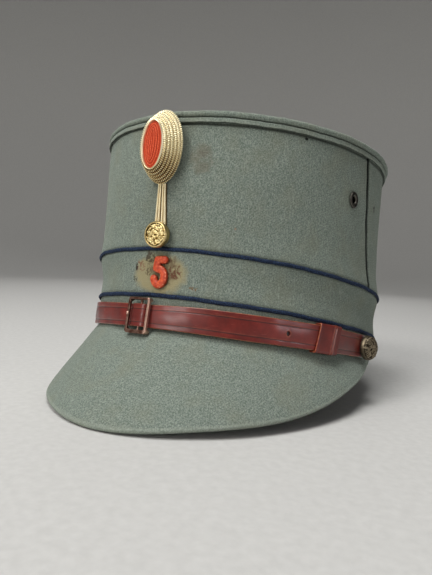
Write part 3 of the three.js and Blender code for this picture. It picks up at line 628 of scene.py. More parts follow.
def crown_panel(shares, side):
    """A crown panel between the two side seams. shares run from -1 to 1 across it, side is 1 for
    the front panel and -1 for the back one. Its edges are turned in along each seam, and where
    an eyelet goes through, it is pressed from both faces to a thin membrane, painted dark as the
    shade inside the hole."""
    level, depth = slab_outline(CROWN_FOOT, CROWN_TOP, CROWN_THICK, 0.6, spaced(
        CROWN_FOOT, CROWN_TOP, 1.3, [(CROWN_FOOT, 3, 0.5), (EYELET_LEVEL, 2.6, 0.25),
                                     (FOLD_LOW, 2, 0.5)]), 60)
    front = side > 0
    edge = seam_angle(level) - SEAM_HALF_GAP * side
    reach = edge if front else 180 - (seam_angle(level) + SEAM_HALF_GAP)
    angles = shares * reach + (0 if front else 180)
    level = np.broadcast_to(level, angles.shape)
    from_seam = (1 - np.abs(shares)) * reach * MM_PER_DEGREE
    relief = (waves(angles, level, RIPPLES) + tucks(level, CROWN_TUCKS)
              + dent(from_seam, 1.2, 0.8) + 0.3 * bell(from_seam - 2.2, 1.3)
              + (0 if front else 0.25) * bell(from_seam, 9))
    # Painted shade: a dark line down each seam's groove and under the rim's fold; beside each seam
    # a narrow strip is paler.
    worn = (0.35 * bell(from_seam - 1.6, 0.6) - 1.8 * bell(from_seam, 1.0)
            - 0.8 * bell(level - FOLD_LOW + 0.2, 0.8))
    push = relief * (1 + depth / CROWN_THICK)
    if front:
        across = (np.abs(angles) - EYELET_ANGLE) * MM_PER_DEGREE
        hole = np.hypot(across / EYELET_SQUEEZE, level - EYELET_LEVEL) < HOLE_RADIUS
        to_middle = -CROWN_THICK / 2 - depth
        push = np.where(hole, to_middle - MEMBRANE / 2 * np.sign(to_middle), push)
        worn = np.where(hole, -2.0, worn)
    return skin(wall(angles, level, depth + push), "flat", worn)


# Shares of the panel's reach, finer beside the seams and round the eyelets.
seam_fine = [(-1, 0.04, 0.004), (1, 0.04, 0.004)]
eyelet_fine = [(place * EYELET_ANGLE / REACH_AT_EYELET, 0.028, 0.0026) for place in (-1, 1)]
front_shares = spaced(-1, 1, 0.0105, seam_fine + eyelet_fine)[:, None]
back_shares = spaced(-1, 1, 0.0085, seam_fine)[:, None]
make_piece("front_panel_cloth", [crown_panel(front_shares, 1)], crown_wool, "crown_front")
make_piece("back_panel_cloth", [crown_panel(back_shares, -1)], moth_wool, "crown_back")


def seam_stitches(side):
    """Slanting stitches of dark thread down a side seam: each a short fat capsule, its section a
    circle whose radius follows a half oval along its length."""
    thick, half_length, slant, sunk, pitch = 0.34, 1.05, 0.28, 0.25, 2.1
    skins = []
    along = np.linspace(-0.995, 0.995, 7)[:, None]
    turn = np.radians(np.arange(0, 360, 60))
    radius = thick * np.sqrt(1 - along ** 2)
    local = points_of(radius * np.cos(turn) + slant * along, half_length * along,
                      radius * np.sin(turn)) * (side, 1, 1)
    for level in np.arange(CROWN_FOOT + 2.5, FOLD_LOW - 1.5, pitch):
        angle = side * (seam_angle(level) + 0.04 * np.sin(level * 2.3))
        skins.append(skin(on_wall(local, angle, level, -sunk), "pole"))
    return skins


for side, name in SIDES:
    make_piece("seam_stitches_" + name, seam_stitches(side), seam_thread, "crown_front")


def top_cloth():
    """The sunken top: rings shrinking from the wall to the middle and sinking as the square of
    how far in they are, with a rounded edge, and the same again lower for its underside."""
    sag, pucker, clearance = 1.6, 0.48, 0.5
    share = np.concatenate([np.linspace(0.01, 0.96, 46), [0.975, 0.99, 1.0]])
    rounding = np.concatenate([0 * share[:-3], [0.12, 0.4, 1.1]])
    angles = np.arange(-180, 180, 1.5)

    def face(level, share, down):
        """One face's rings at a level, sunk towards the middle and lowered by down."""
        edge = wall(angles, level, -CROWN_THICK - clearance)
        centre = (wall(0.0, level) + wall(180.0, level)) / 2
        grid = centre + (edge - centre) * share[:, None, None]
        share, down = share[:, None], down[:, None]
        puckers = pucker * share ** 2 * waves(angles, 9.0 * share, RIPPLES)
        grid[..., 2] -= sag * (1 - share ** 2) + down - puckers * (share < 0.97)
        return grid
    upper = face(113.2, share, rounding)
    lower = face(110.8, share[::6][::-1], 0 * share[::6])
    return skin(np.concatenate([upper, lower]), "pole")


make_piece("top_cloth", [top_cloth()], wool, "crown_top")


def ring_piece(angles, level, out, section, wobble, worn=0.0):
    """A cord or welt round the head: a closed section, given as heights and depths round its
    middle, carried round the wall at a level, and pushed up and out by the wobble."""
    height, depth = section
    up, push = wobble(angles)
    return skin(wall(angles, level + height + up, out + depth + push), "ring", worn)


# Each row of a wobble has its cycles round, its climb, its phase and its height in mm.
PIPING_WOBBLE = [(9, 0, 1.1, 0.12), (23, 0, 2.9, 0.1), (61, 0, 0.3, 0.05)]
FOLD_WOBBLE = [(5, 0, 0.7, 0.12), (17, 0, 2.1, 0.08), (43, 0, 5.0, 0.05), (97, 0, 1.0, 0.04)]
fine_around = np.arange(-180, 180, 0.45)[:, None]
turn = np.radians(np.arange(0, 360, 20))
for name, level, node_name in (("upper_piping_cord", BAND_SEAM, "upper_piping"),
                               ("lower_piping_cord", LOWER_PIPING, "lower_piping")):
    # The cord's top, bottom and back, all but its outward face, are painted dark as shade where it
    # tucks into the cloth.
    cord = ring_piece(
        fine_around, level, 0.2, squarish(turn, 1.1, 0.85),
        lambda a: (waves(a, level, PIPING_WOBBLE), waves(a, level + 2, PIPING_WOBBLE) * 0.5),
        0.8 * (np.cos(turn) < 0.3))
    make_piece(name, [cord], navy_cord, node_name)

# The fold is painted dark on its top, as shade in the groove under the roll, and on its underside,
# as the shadow it casts; its lower front edge is rubbed paler.
fold = ring_piece(
    fine_around, (FOLD_LOW + FOLD_HIGH) / 2, 0.95, squarish(turn, 1.4, 0.75, 0.7, 0.6),
    lambda a: (waves(a, 0, FOLD_WOBBLE), waves(a, 3, FOLD_WOBBLE) * 0.7),
    0.7 * bell(np.degrees(turn) - 330, 25) - 0.5 * smoothstep(np.sin(turn), 0.75, 1.0)
    - 0.9 * smoothstep(-np.sin(turn), 0.8, 1.0))
make_piece("rim_fold_cloth", [fold], wool, "rim_fold")

ROLL_MIDDLE = 118.95
turn = np.radians(np.arange(0, 360, 12))
# The roll's upper outer edge is painted paler as a highlight from above, and its underside darker
# as shade.
roll = ring_piece(
    fine_around, ROLL_MIDDLE, 0.1, squarish(turn, 1.8, 2.2, 0.85, 0.8),
    lambda a: (waves(a, 5, FOLD_WOBBLE) * 0.8, waves(a, 8, FOLD_WOBBLE)),
    0.9 * bell(np.degrees(turn) - 60, 28) - 0.6 * smoothstep(-np.sin(turn), 0.75, 1.0))
make_piece("rim_roll_cloth", [roll], wool, "rim_roll")

# ---- Peak ---------------------------------------------------------------------------------------


def peak_slab(angles):
    """The peak: a straight line from the hem to the lip at each angle, crowned by
    4 s (1 - s) along its own normal, with the same again one thickness below. The lip is a half
    circle of cloth turned over the edge."""
    root_level, half = -3.0, PEAK_THICK / 2
    root = wall(angles, root_level, 0.4)
    reach, drop = through_rows(PEAK_LIP, angles)
    lip = wall(angles, HEM, reach)
    root[..., 2], lip[..., 2] = root_level, -drop
    length = np.linalg.norm(lip - root, axis=-1, keepdims=True)
    level = lip - root
    level[..., 2] = 0
    run = np.linalg.norm(level, axis=-1, keepdims=True)
    level = level / run
    slope = np.arctan2(root[..., 2:] - lip[..., 2:], run)
    upright = np.array([0.0, 0.0, 1.0])
    normal = level * np.sin(slope) + upright * np.cos(slope)
    under_root = root - upright * PEAK_THICK / np.cos(slope)
    under_lip = lip - normal * PEAK_THICK
    share = np.linspace(0, 1, 56)[:, None, None]
    stop = 1 - half / length
    crown = 4 * share * (1 - share)
    bow = PEAK_BOW * (length / PEAK_LENGTH) * crown
    distance = share * length
    ripple = 0.22 * np.sin(distance / 9 + np.radians(angles)[..., None] * 5) * crown
    ridge = 0.16 * bell(distance - length + 3.2, 1.2)  # where the cloth is turned over the lip
    upper = root + (lip - root) * share * stop + normal * (bow + ripple + ridge)
    lower = under_root + (under_lip - under_root) * share * stop + normal * bow
    sweep = np.radians(np.arange(15, 180, 15))[:, None, None]
    middle = (upper[-1] + lower[-1]) / 2
    edge = (middle + (upper[-1] - middle) * np.cos(sweep)
            + unit(lip - root) * half * np.sin(sweep))
    outline = np.concatenate([upper, edge, lower[::-5]])
    worn = np.zeros(outline.shape[:2])
    worn[len(upper) - 1:len(upper) + 5] = 0.7
    return skin(np.moveaxis(outline, 0, 1), "flat", worn.T)


make_piece("peak_cloth", [peak_slab(np.linspace(-PEAK_END, PEAK_END, 261))], wool, "peak")

# ---- Chin strap ---------------------------------------------------------------------------------

# Two lines creased along the strap: how far up it each is in mm, and both lines' depth and width.
CREASES, CREASE_DEEP, CREASE_WIDE = (2.4, 9.6), 0.06, 0.28
STRAP_WAVES = [(19, 0.4, 0.5, 0.07), (53, 0.9, 1.5, 0.04)]


def keeper_lift(angle):
    """How far the straps rise to pass through the keeper: in full inside it, easing to none."""
    middle, half = (KEEPER_FROM + KEEPER_TO) / 2, (KEEPER_TO - KEEPER_FROM) / 2
    return KEEPER_LIFT * (1 - smoothstep(np.abs(angle - middle), half, half + 9))


def strap(angles, bed, hole=None):
    """A strap: a sheet's outline with pressed lines near both edges and a slightly full middle,
    carried along the strap's line on its bed. Its ends are rounded, and a punched hole is a
    steep round pit."""
    fine = [(at, 0.6, 0.12) for at in CREASES] + ([(HOLE_HEIGHT, 1.5, 0.15)] if hole else [])
    height, depth = slab_outline(0, STRAP_WIDTH, STRAP_THICK, 0.42,
                                 spaced(0, STRAP_WIDTH, 0.45, fine))
    face = depth > -0.5 * STRAP_THICK
    lines = sum(bell(height - at, CREASE_WIDE) for at in CREASES)
    ridges = sum(bell(height - at - 0.45, 0.2) for at in CREASES)
    full = 0.14 * np.clip(1 - ((height - 6) / 3.4) ** 2, 0, 1)
    cut_edge = (depth < -0.05) & (depth > -STRAP_THICK + 0.1)
    relief = (full - CREASE_DEEP * lines) * face + 0 * angles
    # Each crease line is painted dark as shade; the ridge beside it and the cut edges are rubbed
    # raw.
    worn = (0.22 * ridges + cut_edge - 0.8 * lines) * face + 0 * angles
    if hole:
        away = np.hypot((angles - hole) * HOLE_MM_PER_DEGREE, (height - HOLE_HEIGHT) * HOLE_SQUEEZE)
        pit = (1 - smoothstep(away, 0.75, 1.1)) * face
        lip = bell(away - 1.4, 0.3) * face
        relief = relief - 1.15 * pit + 0.06 * lip
        # The pit is painted dark as the shade inside the punched hole.
        worn = worn * (1 - pit) - 1.6 * pit + 0.3 * lip
    # Beyond 70 degrees, where the side buttons are, the end is rounded over 2.6 degrees.
    from_end = np.minimum(angles - angles[0], angles[-1] - angles)
    narrow = np.sqrt(1 - (1 - np.clip(from_end / 2.6, 0, 1)) ** 2) * 0.9 + 0.1
    narrow = np.where(np.abs(angles) > 70, narrow, 1.0)
    share = 0.5 + (height / STRAP_WIDTH - 0.5) * narrow
    out = bed(angles) + STRAP_THICK + depth + relief + waves(
        angles, height / 4, STRAP_WAVES) * face
    return skin(strap_at(angles + 0 * height, share, out), "flat", worn)


def long_bed(angle):
    """The long strap lies on the short one, comes down to the band on the wearer's right of the
    buckle, and rides in a round hump over the buckle's bar: 1 - (distance / reach) to the fourth,
    made fuller by a power under 1."""
    reach, rise = 3.15, 2.8
    hump = np.clip(1 - ((angle - BUCKLE_ANGLE) / reach) ** 4, 0, 1)
    return (STRAP_OUT + STRAP_LAYER * smoothstep(angle, -24, -10) + keeper_lift(angle)
            + rise * hump ** 0.6)


long_angles = spaced(-85.5, 55.8, 0.6, [(BUCKLE_ANGLE, 3.2, 0.15), (HOLE_ANGLE, 1.0, 0.09)])
short_angles = spaced(-3.9, 85.5, 0.6)
long_strap = strap(long_angles[:, None], long_bed, HOLE_ANGLE)
short_strap = strap(short_angles[:, None], lambda a: STRAP_OUT + keeper_lift(a))
make_piece("long_strap_leather", [long_strap], leather, "strap_outer")
make_piece("short_strap_leather", [short_strap], leather, "strap_inner")


def rounded_path(half_width, half_height, radius, corner, side_steps):
    """A rounded rectangle as points and their outward directions, anticlockwise: a quarter circle
    at each corner, then a straight side to where the next one starts."""
    points, outward = [], []
    middles = np.array([(1, 1), (-1, 1), (-1, -1), (1, -1)]) * (
        half_width - radius, half_height - radius)
    steps = np.linspace(0, 1, side_steps + 1)[1:-1, None]
    for quarter in range(4):
        u = np.radians(np.linspace(0, 90, corner) + 90 * quarter)
        heading = np.stack([np.cos(u), np.sin(u)], -1)
        arc = middles[quarter] + radius * heading
        side_end = middles[(quarter + 1) % 4] + radius * heading[-1]
        points += [arc, arc[-1] + (side_end - arc[-1]) * steps]
        outward += [heading, np.repeat(heading[-1:], side_steps - 1, axis=0)]
    return np.concatenate(points), np.concatenate(outward)


def keeper_loop():
    """The keeper: a strip of leather bent round both straps as a rounded box. The strip's outline
    is carried round the box; its face has a raised left edge and a stitched double ridge."""
    low, high = STRAP_OUT, STRAP_OUT + KEEPER_LIFT + 2 * STRAP_THICK + 0.6 + 0.8
    thick, corner, ridge_gap, ridge_wide, lean = 0.8, 1.1, 1.3, 0.35, 1.7
    half_out = (high - low) / 2
    path, outward = rounded_path(KEEPER_INSIDE / 2 + 1.1, half_out, corner, 5, 14)
    width = (KEEPER_TO - KEEPER_FROM) * KEEPER_MM_PER_DEGREE
    across, depth = slab_outline(0, width, thick, 0.25, spaced(0, width, 0.4))
    ridge_at = (58.2 - KEEPER_FROM) * KEEPER_MM_PER_DEGREE
    ridges = bell(across - ridge_at, ridge_wide) + bell(across - ridge_at - ridge_gap, ridge_wide)
    front = smoothstep(path[:, 1:], 0, half_out * 0.9)
    lift = (0.35 * ridges + 0.2 * bell(across - 0.5, 0.5)) * (depth > -0.3) * front
    place = path[:, None] + outward[:, None] * (depth + lift)[..., None]
    share = place[..., 0] / KEEPER_INSIDE + 0.5
    out = place[..., 1] + (low + high) / 2
    angle = KEEPER_FROM + across / KEEPER_MM_PER_DEGREE + lean * (share - 0.5)
    edge = (depth < -0.04) & (depth > -0.7)
    worn = (0.35 * ridges + 0.4 * edge) * front + 0.2 * edge
    return skin(strap_at(angle, share, out), "ring", worn)


make_piece("keeper_leather", [keeper_loop()], leather, "strap_keeper")


def buckle():
    """The buckle: a bevelled bar carried round a rounded rectangle, higher off the cap over the
    straps, with a thin dark line painted along each edge of its face as the shade of a pressed
    line; a round bar up its middle; and a small knob, an oval ball made of rings between its
    two poles."""
    width, height, bar, near, over_straps, far = 14.3, 18.8, 1.4, 2.7, 4.7, 6.2
    path, outward = rounded_path(width / 2 - bar / 2, height / 2 - bar / 2, 0.9, 5, 16)
    across, depth = slab_outline(-bar / 2, bar / 2, 1.0, 0.26, np.linspace(-0.4, 0.4, 5))
    over_strap = 1 - smoothstep(np.abs(path[:, 1:]), height / 2 - 2.4, height / 2 - 1.5)
    foot = near + (over_straps - near) * over_strap
    broad = 1 + 0.55 * smoothstep(-path[:, 1:], height / 2 - 2.2, height / 2 - 1.2)
    place = path[:, None] + outward[:, None] * (across * broad)[..., None]
    grid = np.concatenate([place, (far + depth * (far - foot))[..., None]], -1)
    corner = (depth < 0) & (depth > -0.4)
    # Painted light and shade: the bar on the strap's right is painted bare and bright, with bright
    # edges, as the lit side, and the other bars are painted darker as shaded.
    lit = 0.2 + 0.8 * (path[:, :1] > width / 2 - 1.6)
    worn = (lit * (0.8 * corner + 0.5 - 1.3 * bell(depth + 0.14, 0.05))
            - 0.35 * (1 - lit) + 0 * foot)
    u = np.radians(np.arange(0, 360, 24))
    post_radius, post_out = 0.7, 3.5
    y = np.linspace(-height / 2 + bar / 2, height / 2 - bar / 2, 7)[:, None]
    post = points_of(post_radius * np.cos(u), y, post_out + post_radius * np.sin(u))
    v, u = np.radians(np.linspace(-80, 80, 9))[:, None], np.radians(np.arange(0, 360, 22.5))
    knob = points_of(np.cos(v) * np.cos(u), np.cos(v) * np.sin(u), np.sin(v)) * (
        0.85, 1.25, 0.85) + (-width / 2 + 0.35, 0.6, far - 0.55)
    return [skin(on_strap(grid, BUCKLE_ANGLE, 0), "ring", worn),
            skin(on_strap(post, BUCKLE_ANGLE, 0), "flat"),
            skin(on_strap(knob, BUCKLE_ANGLE, 0), "pole", 0.5)]


make_piece("buckle_bars", buckle(), bronze, "buckle_frame")

# ---- Buttons ------------------------------------------------------------------------------------


def turned(radii, heights, sides):
    """The surface of a piece turned about +Z: rings of points at those radii and heights, from
    the middle of its face out, round its edge and in to the middle of its back. Gives the rings'
    turns, and their x, y and heights as columns."""
    u = np.radians(np.arange(sides) * 360 / sides)
    return u, radii[:, None] * np.cos(u), radii[:, None] * np.sin(u), heights[:, None]


def petals(x, y, rows):
    """Raised leaves on a flat face: each row has a leaf's middle, heading in degrees, half length
    and half width. A leaf is an oval dome with a sunk midrib, and the highest leaf shows."""
    total = np.zeros(np.shape(x))
    for cx, cy, heading, half_length, half_width in rows:
        c, s = np.cos(np.radians(heading)), np.sin(np.radians(heading))
        u = ((x - cx) * c + (y - cy) * s) / half_length
        v = ((y - cy) * c - (x - cx) * s) / (half_width * (1.05 - 0.35 * u))
        dome = np.sqrt(np.clip(1 - u * u - v * v, 0, 1))
        total = np.maximum(total, dome * (1 - 0.35 * bell(v, 0.16)))
    return total


def scattered_leaves(seed, count, reach, lean):
    """Rows for petals(): leaves spread evenly over a disc by a seeded draw, each heading out from
    the middle and turned by lean degrees, more or less."""
    draw = np.random.default_rng(seed)
    spot, far = draw.uniform(0, 2 * np.pi, count), reach * np.sqrt(draw.uniform(0, 1, count))
    heading = np.degrees(spot) + draw.normal(lean, 30, count)
    return zip(far * np.cos(spot), far * np.sin(spot), heading,
               draw.uniform(0.7, 1.35, count), draw.uniform(0.28, 0.5, count))


def side_dome():
    """A domed button with a beaded edge, covered in small leaves that spread from its middle.
    Gives its points and how worn each is."""
    radius, height, shoulder, bead_count, face_rings = 7.2, 5.8, 1.6, 36, 44
    rise = np.radians(np.linspace(1.5, 90, face_rings))
    radii = radius * np.append(np.sin(rise), [0.985, 0.9, 0.55, 0.1])
    heights = np.append(shoulder + (height - shoulder) * np.cos(rise), [0.9, 0.55, 0.0, 0.0])
    turn, x, y, z = turned(radii, heights, 144)
    share = radii[:, None] / radius
    raised = petals(x, y, scattered_leaves(7, 120, radius * 0.84, 25))
    beads = bell(share - 0.86, 0.05) * (0.5 + 0.5 * np.cos(bead_count * turn))
    face = (np.arange(len(radii)) < face_rings)[:, None]
    crest = np.maximum(raised, beads)
    worn = (0.5 * crest - 0.6 * (1 - crest) * (share < 0.93)) * face
    return points_of(x, y, z + (0.42 * raised + 0.3 * beads) * face), worn


dome_grid, dome_worn = side_dome()
for side, name in SIDES:
    placed = on_strap(dome_grid, side * STRAP_BUTTON_ANGLE, STRAP_OUT + STRAP_THICK + 1.2,
                      lower=0.7, turn=-side * 12)
    make_piece("strap_button_" + name, [skin(placed, "pole", dome_worn)], old_brass,
               "side_button_" + name)


def front_button():
    """A gilt button: a deep side, a bright raised edge, and inside it a dense spray of small
    leaves that all lean one way round, on a stippled ground."""
    radius, height, stipple_turn = 6.9, 4.5, 8.5
    face = np.linspace(0.02, 0.82, 58)
    # The raised edge and the deep side, as shares of the radius and heights from the edge's top.
    edge = np.array([
        (0.845, -0.55), (0.86, -0.15), (0.88, 0), (0.905, 0.02), (0.94, -0.12), (0.975, -0.4),
        (1.0, -0.8), (1.0, -1.3), (0.99, -1.8), (0.965, -3.4), (0.95, -4.0)])
    share = np.concatenate([face, edge[:, 0], [0.9, 0.5, 0.1]])
    heights = np.concatenate([height - 0.45 - 0.5 * face ** 2, height + edge[:, 1], [0, 0, 0]])
    _, x, y, z = turned(radius * share, heights, 180)
    share = share[:, None]
    raised = petals(x, y, scattered_leaves(11, 130, radius * 0.8, 55))
    stipple = 0.5 + 0.5 * np.sin(x * stipple_turn) * np.sin(y * stipple_turn)
    inside = share < 0.83
    rim = bell(share - 0.9, 0.035) * (z > 3.6)
    worn = ((0.9 * raised - 0.5 * (1 - raised) ** 2) * inside + 0.6 * rim * ~inside
            - 1.2 * bell(share - 0.835, 0.02))
    grid = points_of(x, y, z + (0.6 * raised + 0.07 * stipple) * inside)
    return skin(on_wall(grid, angle=0.2, level=45.5, out=LOOP_FACE + 0.4), "pole", worn)


make_piece("front_button_stamped", [front_button()], gilt_brass, "front_button")

# ---- Loop and cockade ---------------------------------------------------------------------------


def loop_strand(side):
    """One strand of the loop: two gilt cords side by side, each a half round with slanting
    twists, carried straight up the wall and narrowing."""
    twist_pitch, gap, foot_out, groove = 1.1, 0.2, 0.5, -0.8
    levels = np.linspace(LOOP_FOOT, LOOP_TOP, 150)
    right, _, outward, at = (v[:, None] for v in wall_axes(-0.35, levels))
    levels = levels[:, None]
    half = LOOP_HALF_LOW + (LOOP_HALF_HIGH - LOOP_HALF_LOW) * (levels - LOOP_FOOT) / (
        LOOP_TOP - LOOP_FOOT)
    cords = np.linspace(0.02, 1.98, 21)  # 0 to 1 over the inner cord, and on to 2 over the outer
    part = cords % 1
    crest = half_round(part)
    twist = np.cos(2 * np.pi * (levels / twist_pitch + 0.7 * part)) * crest
    flat = 0 * half
    across = np.concatenate([gap + (half - gap) * cords / 2, half, gap + flat], 1)
    rise = np.concatenate([0.35 + 1.05 * crest + 0.04 * twist, flat, flat], 1)
    grid = at + right * (side * across)[..., None] + outward * (foot_out + rise)[..., None]
    worn = np.concatenate([0.4 + 0.15 * twist - 1.5 * np.abs(2 * part - 1) ** 4,
                           groove + flat, groove + flat], 1)
    return skin(grid, "flat", worn)


for side, name in SIDES:
    make_piece("loop_cord_" + name, [loop_strand(side)], bullion, "loop_strand_" + name)

COCKADE_PLACE = {"angle": 0.4, "level": 98.2, "out": LOOP_FACE + 1.2, "droop": 8, "turn": 8}


def oval_turns(half_width, half_height, count):
    """Turns round an oval at even distances along it, and how far along each is, from 0 to 1."""
    fine = np.linspace(0, 2 * np.pi, 4001)
    step = np.hypot(half_width * np.diff(np.cos(fine)), half_height * np.diff(np.sin(fine)))
    run = np.append(0, np.cumsum(step))
    share = np.arange(count) / count
    return np.interp(share * run[-1], run, fine), share


def cockade_cup():
    """The cockade's cup: rows of twisted gilt cord wound round an oval that narrows to its
    mouth. Each row is a half round; its twists are slanting waves, as many as its length holds.
    The cord is painted brown on its underside as shade from the light above, and its hollows
    between rows are darkened as grime and painted shade."""
    rows, pitch, wide, high, low_out, deep = 6, 1.05, 9.5, 16, 0.7, 11.0
    across, count = 66, 760
    turns, share = oval_turns(wide, high, count)
    q = (np.arange(across) + 0.5) / across
    row, part = np.floor(q * rows), (q * rows) % 1
    out = low_out + deep * q
    half_height, half_width = (
        np.interp(out, COCKADE_RINGS[:, 0], COCKADE_RINGS[:, column])[:, None] for column in (1, 2))
    middle = np.interp(low_out + deep * (row + 0.5) / rows, COCKADE_RINGS[:, 0],
                       COCKADE_RINGS[:, 1])
    twists = np.round(2 * np.pi * np.hypot(middle, middle * 0.6) / np.sqrt(2) / pitch)
    lean = np.where(row % 2 == 0, 0.45, -0.45)
    crest = half_round(part)[:, None]
    wave = np.cos(2 * np.pi * (twists[:, None] * share + (lean * part)[:, None]))
    bulge = 0.95 * crest - 0.6 + 0.28 * wave * crest
    normal = unit(np.stack([np.cos(turns) / wide, np.sin(turns) / high], -1))
    side = points_of(half_width * np.cos(turns) + bulge * normal[:, 0],
                     half_height * np.sin(turns) + bulge * normal[:, 1],
                     out[:, None] + 0.25 * bulge)
    # Painted shade: the underside of the cup darkens to brown as if lit from above, and the hollows
    # between rows darken as grime and shade.
    painted_underside_shade = smoothstep(-np.sin(turns), -0.3, 1.0)
    side_wear_and_shade = (0.8 * crest + 0.7 * wave * crest - 0.8 * np.abs(2 * part - 1)[:, None] ** 2.5
                 - 1.15 * painted_underside_shade)

    def plain(rings):
        """Smooth ovals: each row has its height, half width and half height."""
        out, half_width, half_height = np.array(rings).T[..., None]
        return points_of(half_width * np.cos(turns), half_height * np.sin(turns), out)
    back = plain([(0.0, 1.0, 2.0), (0.0, 10.2, 17.2)])
    mouth = plain([(11.75, 6.5, 12.35), (12.1, 6.35, 12.2), (12.3, 6.1, 12.0),
                   (12.25, 5.8, 11.8), (12.0, 5.5, 11.65), (11.5, 5.3, 11.5),
                   (10.6, 5.25, 11.45), (10.6, 1.0, 2.0)])
    worn = np.concatenate([np.full((2, count), -0.5), side_wear_and_shade,
                           np.full((6, count), 0.6) - 0.5 * painted_underside_shade, np.full((2, count), -0.6)])
    return skin(on_wall(np.concatenate([back, side, mouth]), **COCKADE_PLACE), "pole", worn)


make_piece("cockade_cup_cord", [cockade_cup()], bullion, "cockade_shell")


def cockade_centre():
    """The orange centre: an oval dome of nested ovals of cord. Each is a half round with fine
    slanting twists."""
    coils, half_width, half_height, count = 4.0, 5.1, 11.3, 420
    foot_out, dome, cord_high, pitch = 10.9, 1.1, 0.6, 0.9
    turns, share = oval_turns(half_width, half_height, count)
    r = np.linspace(0.015, 0.985, 58)[:, None]
    row, part = np.floor(r * coils + 0.5), (r * coils + 0.5) % 1
    crest = half_round(part)
    twists = np.round(2 * np.pi * 8.9 * np.clip(row / coils, 0.1, 1) / pitch)
    wave = np.cos(2 * np.pi * (twists * share + 0.8 * part))
    height = foot_out + dome * (1 - r ** 2) + cord_high * crest + 0.06 * wave * crest

    def inset(share, height):
        """An oval drawn in evenly all round until it is share of its first width."""
        return points_of(half_width * share * np.cos(turns),
                         (half_height - half_width * (1 - share)) * np.sin(turns), height)
    foot = np.array([(1.0, 11.1), (1.0, 10.9), (0.05, 10.9)])
    grid = np.concatenate([inset(r, height), inset(foot[:, :1], foot[:, 1:])])
    # The grooves between the rings and the foot under the dome are painted dark as shade.
    groove = 0.95 * np.abs(2 * part - 1) ** 3
    worn = np.concatenate([groove - 0.2 * wave * (1 - groove), np.full((len(foot), count), 0.8)])
    return skin(on_wall(grid, **COCKADE_PLACE), "pole", worn)


make_piece("cockade_centre_cord", [cockade_centre()], orange_cord, "cockade_core")

# ---- Figure and eyelets -------------------------------------------------------------------------


def figure_five():
    """The figure: a height that depends only on the distance to its centreline, on a fine square
    grid. Grid points just outside are drawn in onto the stroke's edge, so that the outline is
    clean, and a low wall joins the face to the flat back."""
    radius, thick, edge_high, step = 2.1, 2.0, 0.75, 0.17
    bowl = np.radians(np.linspace(100, -165, 40))
    line = np.concatenate([[(2.8, 6.6), (-1.3, 6.4), (-1.8, 2.1)], np.stack(
        [-0.1 + 3.1 * np.cos(bowl), -2.4 + 4.1 * np.sin(bowl)], -1)])
    xs, ys = np.arange(-6, 6.5, step), np.arange(-9.5, 10, step)
    spots = np.stack(np.meshgrid(xs, ys, indexing="ij"), -1).reshape(-1, 2)
    start, run = line[:-1], np.diff(line, axis=0)
    u = np.clip(((spots[:, None] - start) * run).sum(-1) / (run ** 2).sum(-1), 0, 1)
    foot = start + run * u[..., None]
    away = np.linalg.norm(spots[:, None] - foot, axis=-1)
    rows, nearest = np.arange(len(spots)), away.argmin(1)
    distance, foot = away[rows, nearest], foot[rows, nearest]
    near = distance < radius + 0.75 * step
    drawn_in = (distance > radius - 0.35 * step) & near
    pulled = foot + (spots - foot) * (radius / np.maximum(distance, 1e-6))[:, None]
    spots = np.where(drawn_in[:, None], pulled, spots)
    distance = np.where(drawn_in, radius, distance)
    i, j = np.meshgrid(np.arange(len(xs) - 1), np.arange(len(ys) - 1), indexing="ij")
    corner = (i * len(ys) + j).reshape(-1)
    quads = np.stack([corner, corner + len(ys), corner + len(ys) + 1, corner + 1], -1)
    used, flat = np.unique(quads[near[quads].all(1)], return_inverse=True)
    quads, spots, distance = flat.reshape(-1, 4), spots[used], distance[used]
    inward = np.clip(1 - distance / radius, 0, 1)
    rise = edge_high + (thick - edge_high) * np.sqrt(1 - (1 - inward) ** 2.6)
    top, base = points_of(*spots.T, rise), points_of(*spots.T, 0.0)
    # The border is every edge that only one square has.
    n = len(top)
    edges = np.concatenate([np.stack([quads[:, k], quads[:, (k + 1) % 4]], -1) for k in range(4)])
    _, which, uses = np.unique(np.sort(edges, axis=1) @ (n, 1), return_inverse=True,
                               return_counts=True)
    a, b = edges[uses[which] == 1].T
    side = np.stack([b, a, a + n, b + n], -1)
    x, y = spots.T
    chipped = bell(distance - 1.6, 0.26) * (0.25 + 0.75 * (x > 1.2) * (y < 4))
    worn = np.concatenate([chipped - 0.6 * smoothstep(distance, 1.75, 2.1), np.full(n, -0.7)])
    placed = on_wall(np.concatenate([top, base]), angle=0.2, level=24.6, out=0.5)
    return placed, [quads, quads[:, ::-1] + n, side], worn


make_piece("figure_five_painted", [figure_five()], enamel, "numeral_5", 60)


def eyelet(side):
    """A ventilation eyelet: a rolled flange on a short tube through the wall, its outline carried
    round its axis. Each row of the outline has its radius, how far out it is, and its wear; its
    foot against the cloth and the inside of the tube are painted dark as shade."""
    radius, out, worn = np.array([
        (1.9, -2.6, -1), (2.4, -2.6, -1), (2.4, 0.3, -1), (4.4, 0.3, -0.6), (4.68, 0.45, -0.3),
        (4.7, 0.7, 0.1), (4.5, 1.0, 0.25), (4.1, 1.22, 0.2), (3.6, 1.3, -0.1), (3.0, 1.22, -0.1),
        (2.5, 1.0, 0.3), (2.15, 0.6, 0.5), (1.95, 0.1, -0.5), (1.9, -1.0, -1)]).T
    u = np.radians(np.arange(0, 360, 7.5))[:, None]
    grid = points_of(EYELET_SQUEEZE * radius * np.cos(u), radius * np.sin(u), out)
    return skin(on_wall(grid, side * EYELET_ANGLE, EYELET_LEVEL, 0.0), "ring", worn)


for side, name in SIDES:
    make_piece("eyelet_ring_" + name, [eyelet(side)], japanned, "eyelet_" + name)

# ---- Studio -------------------------------------------------------------------------------------


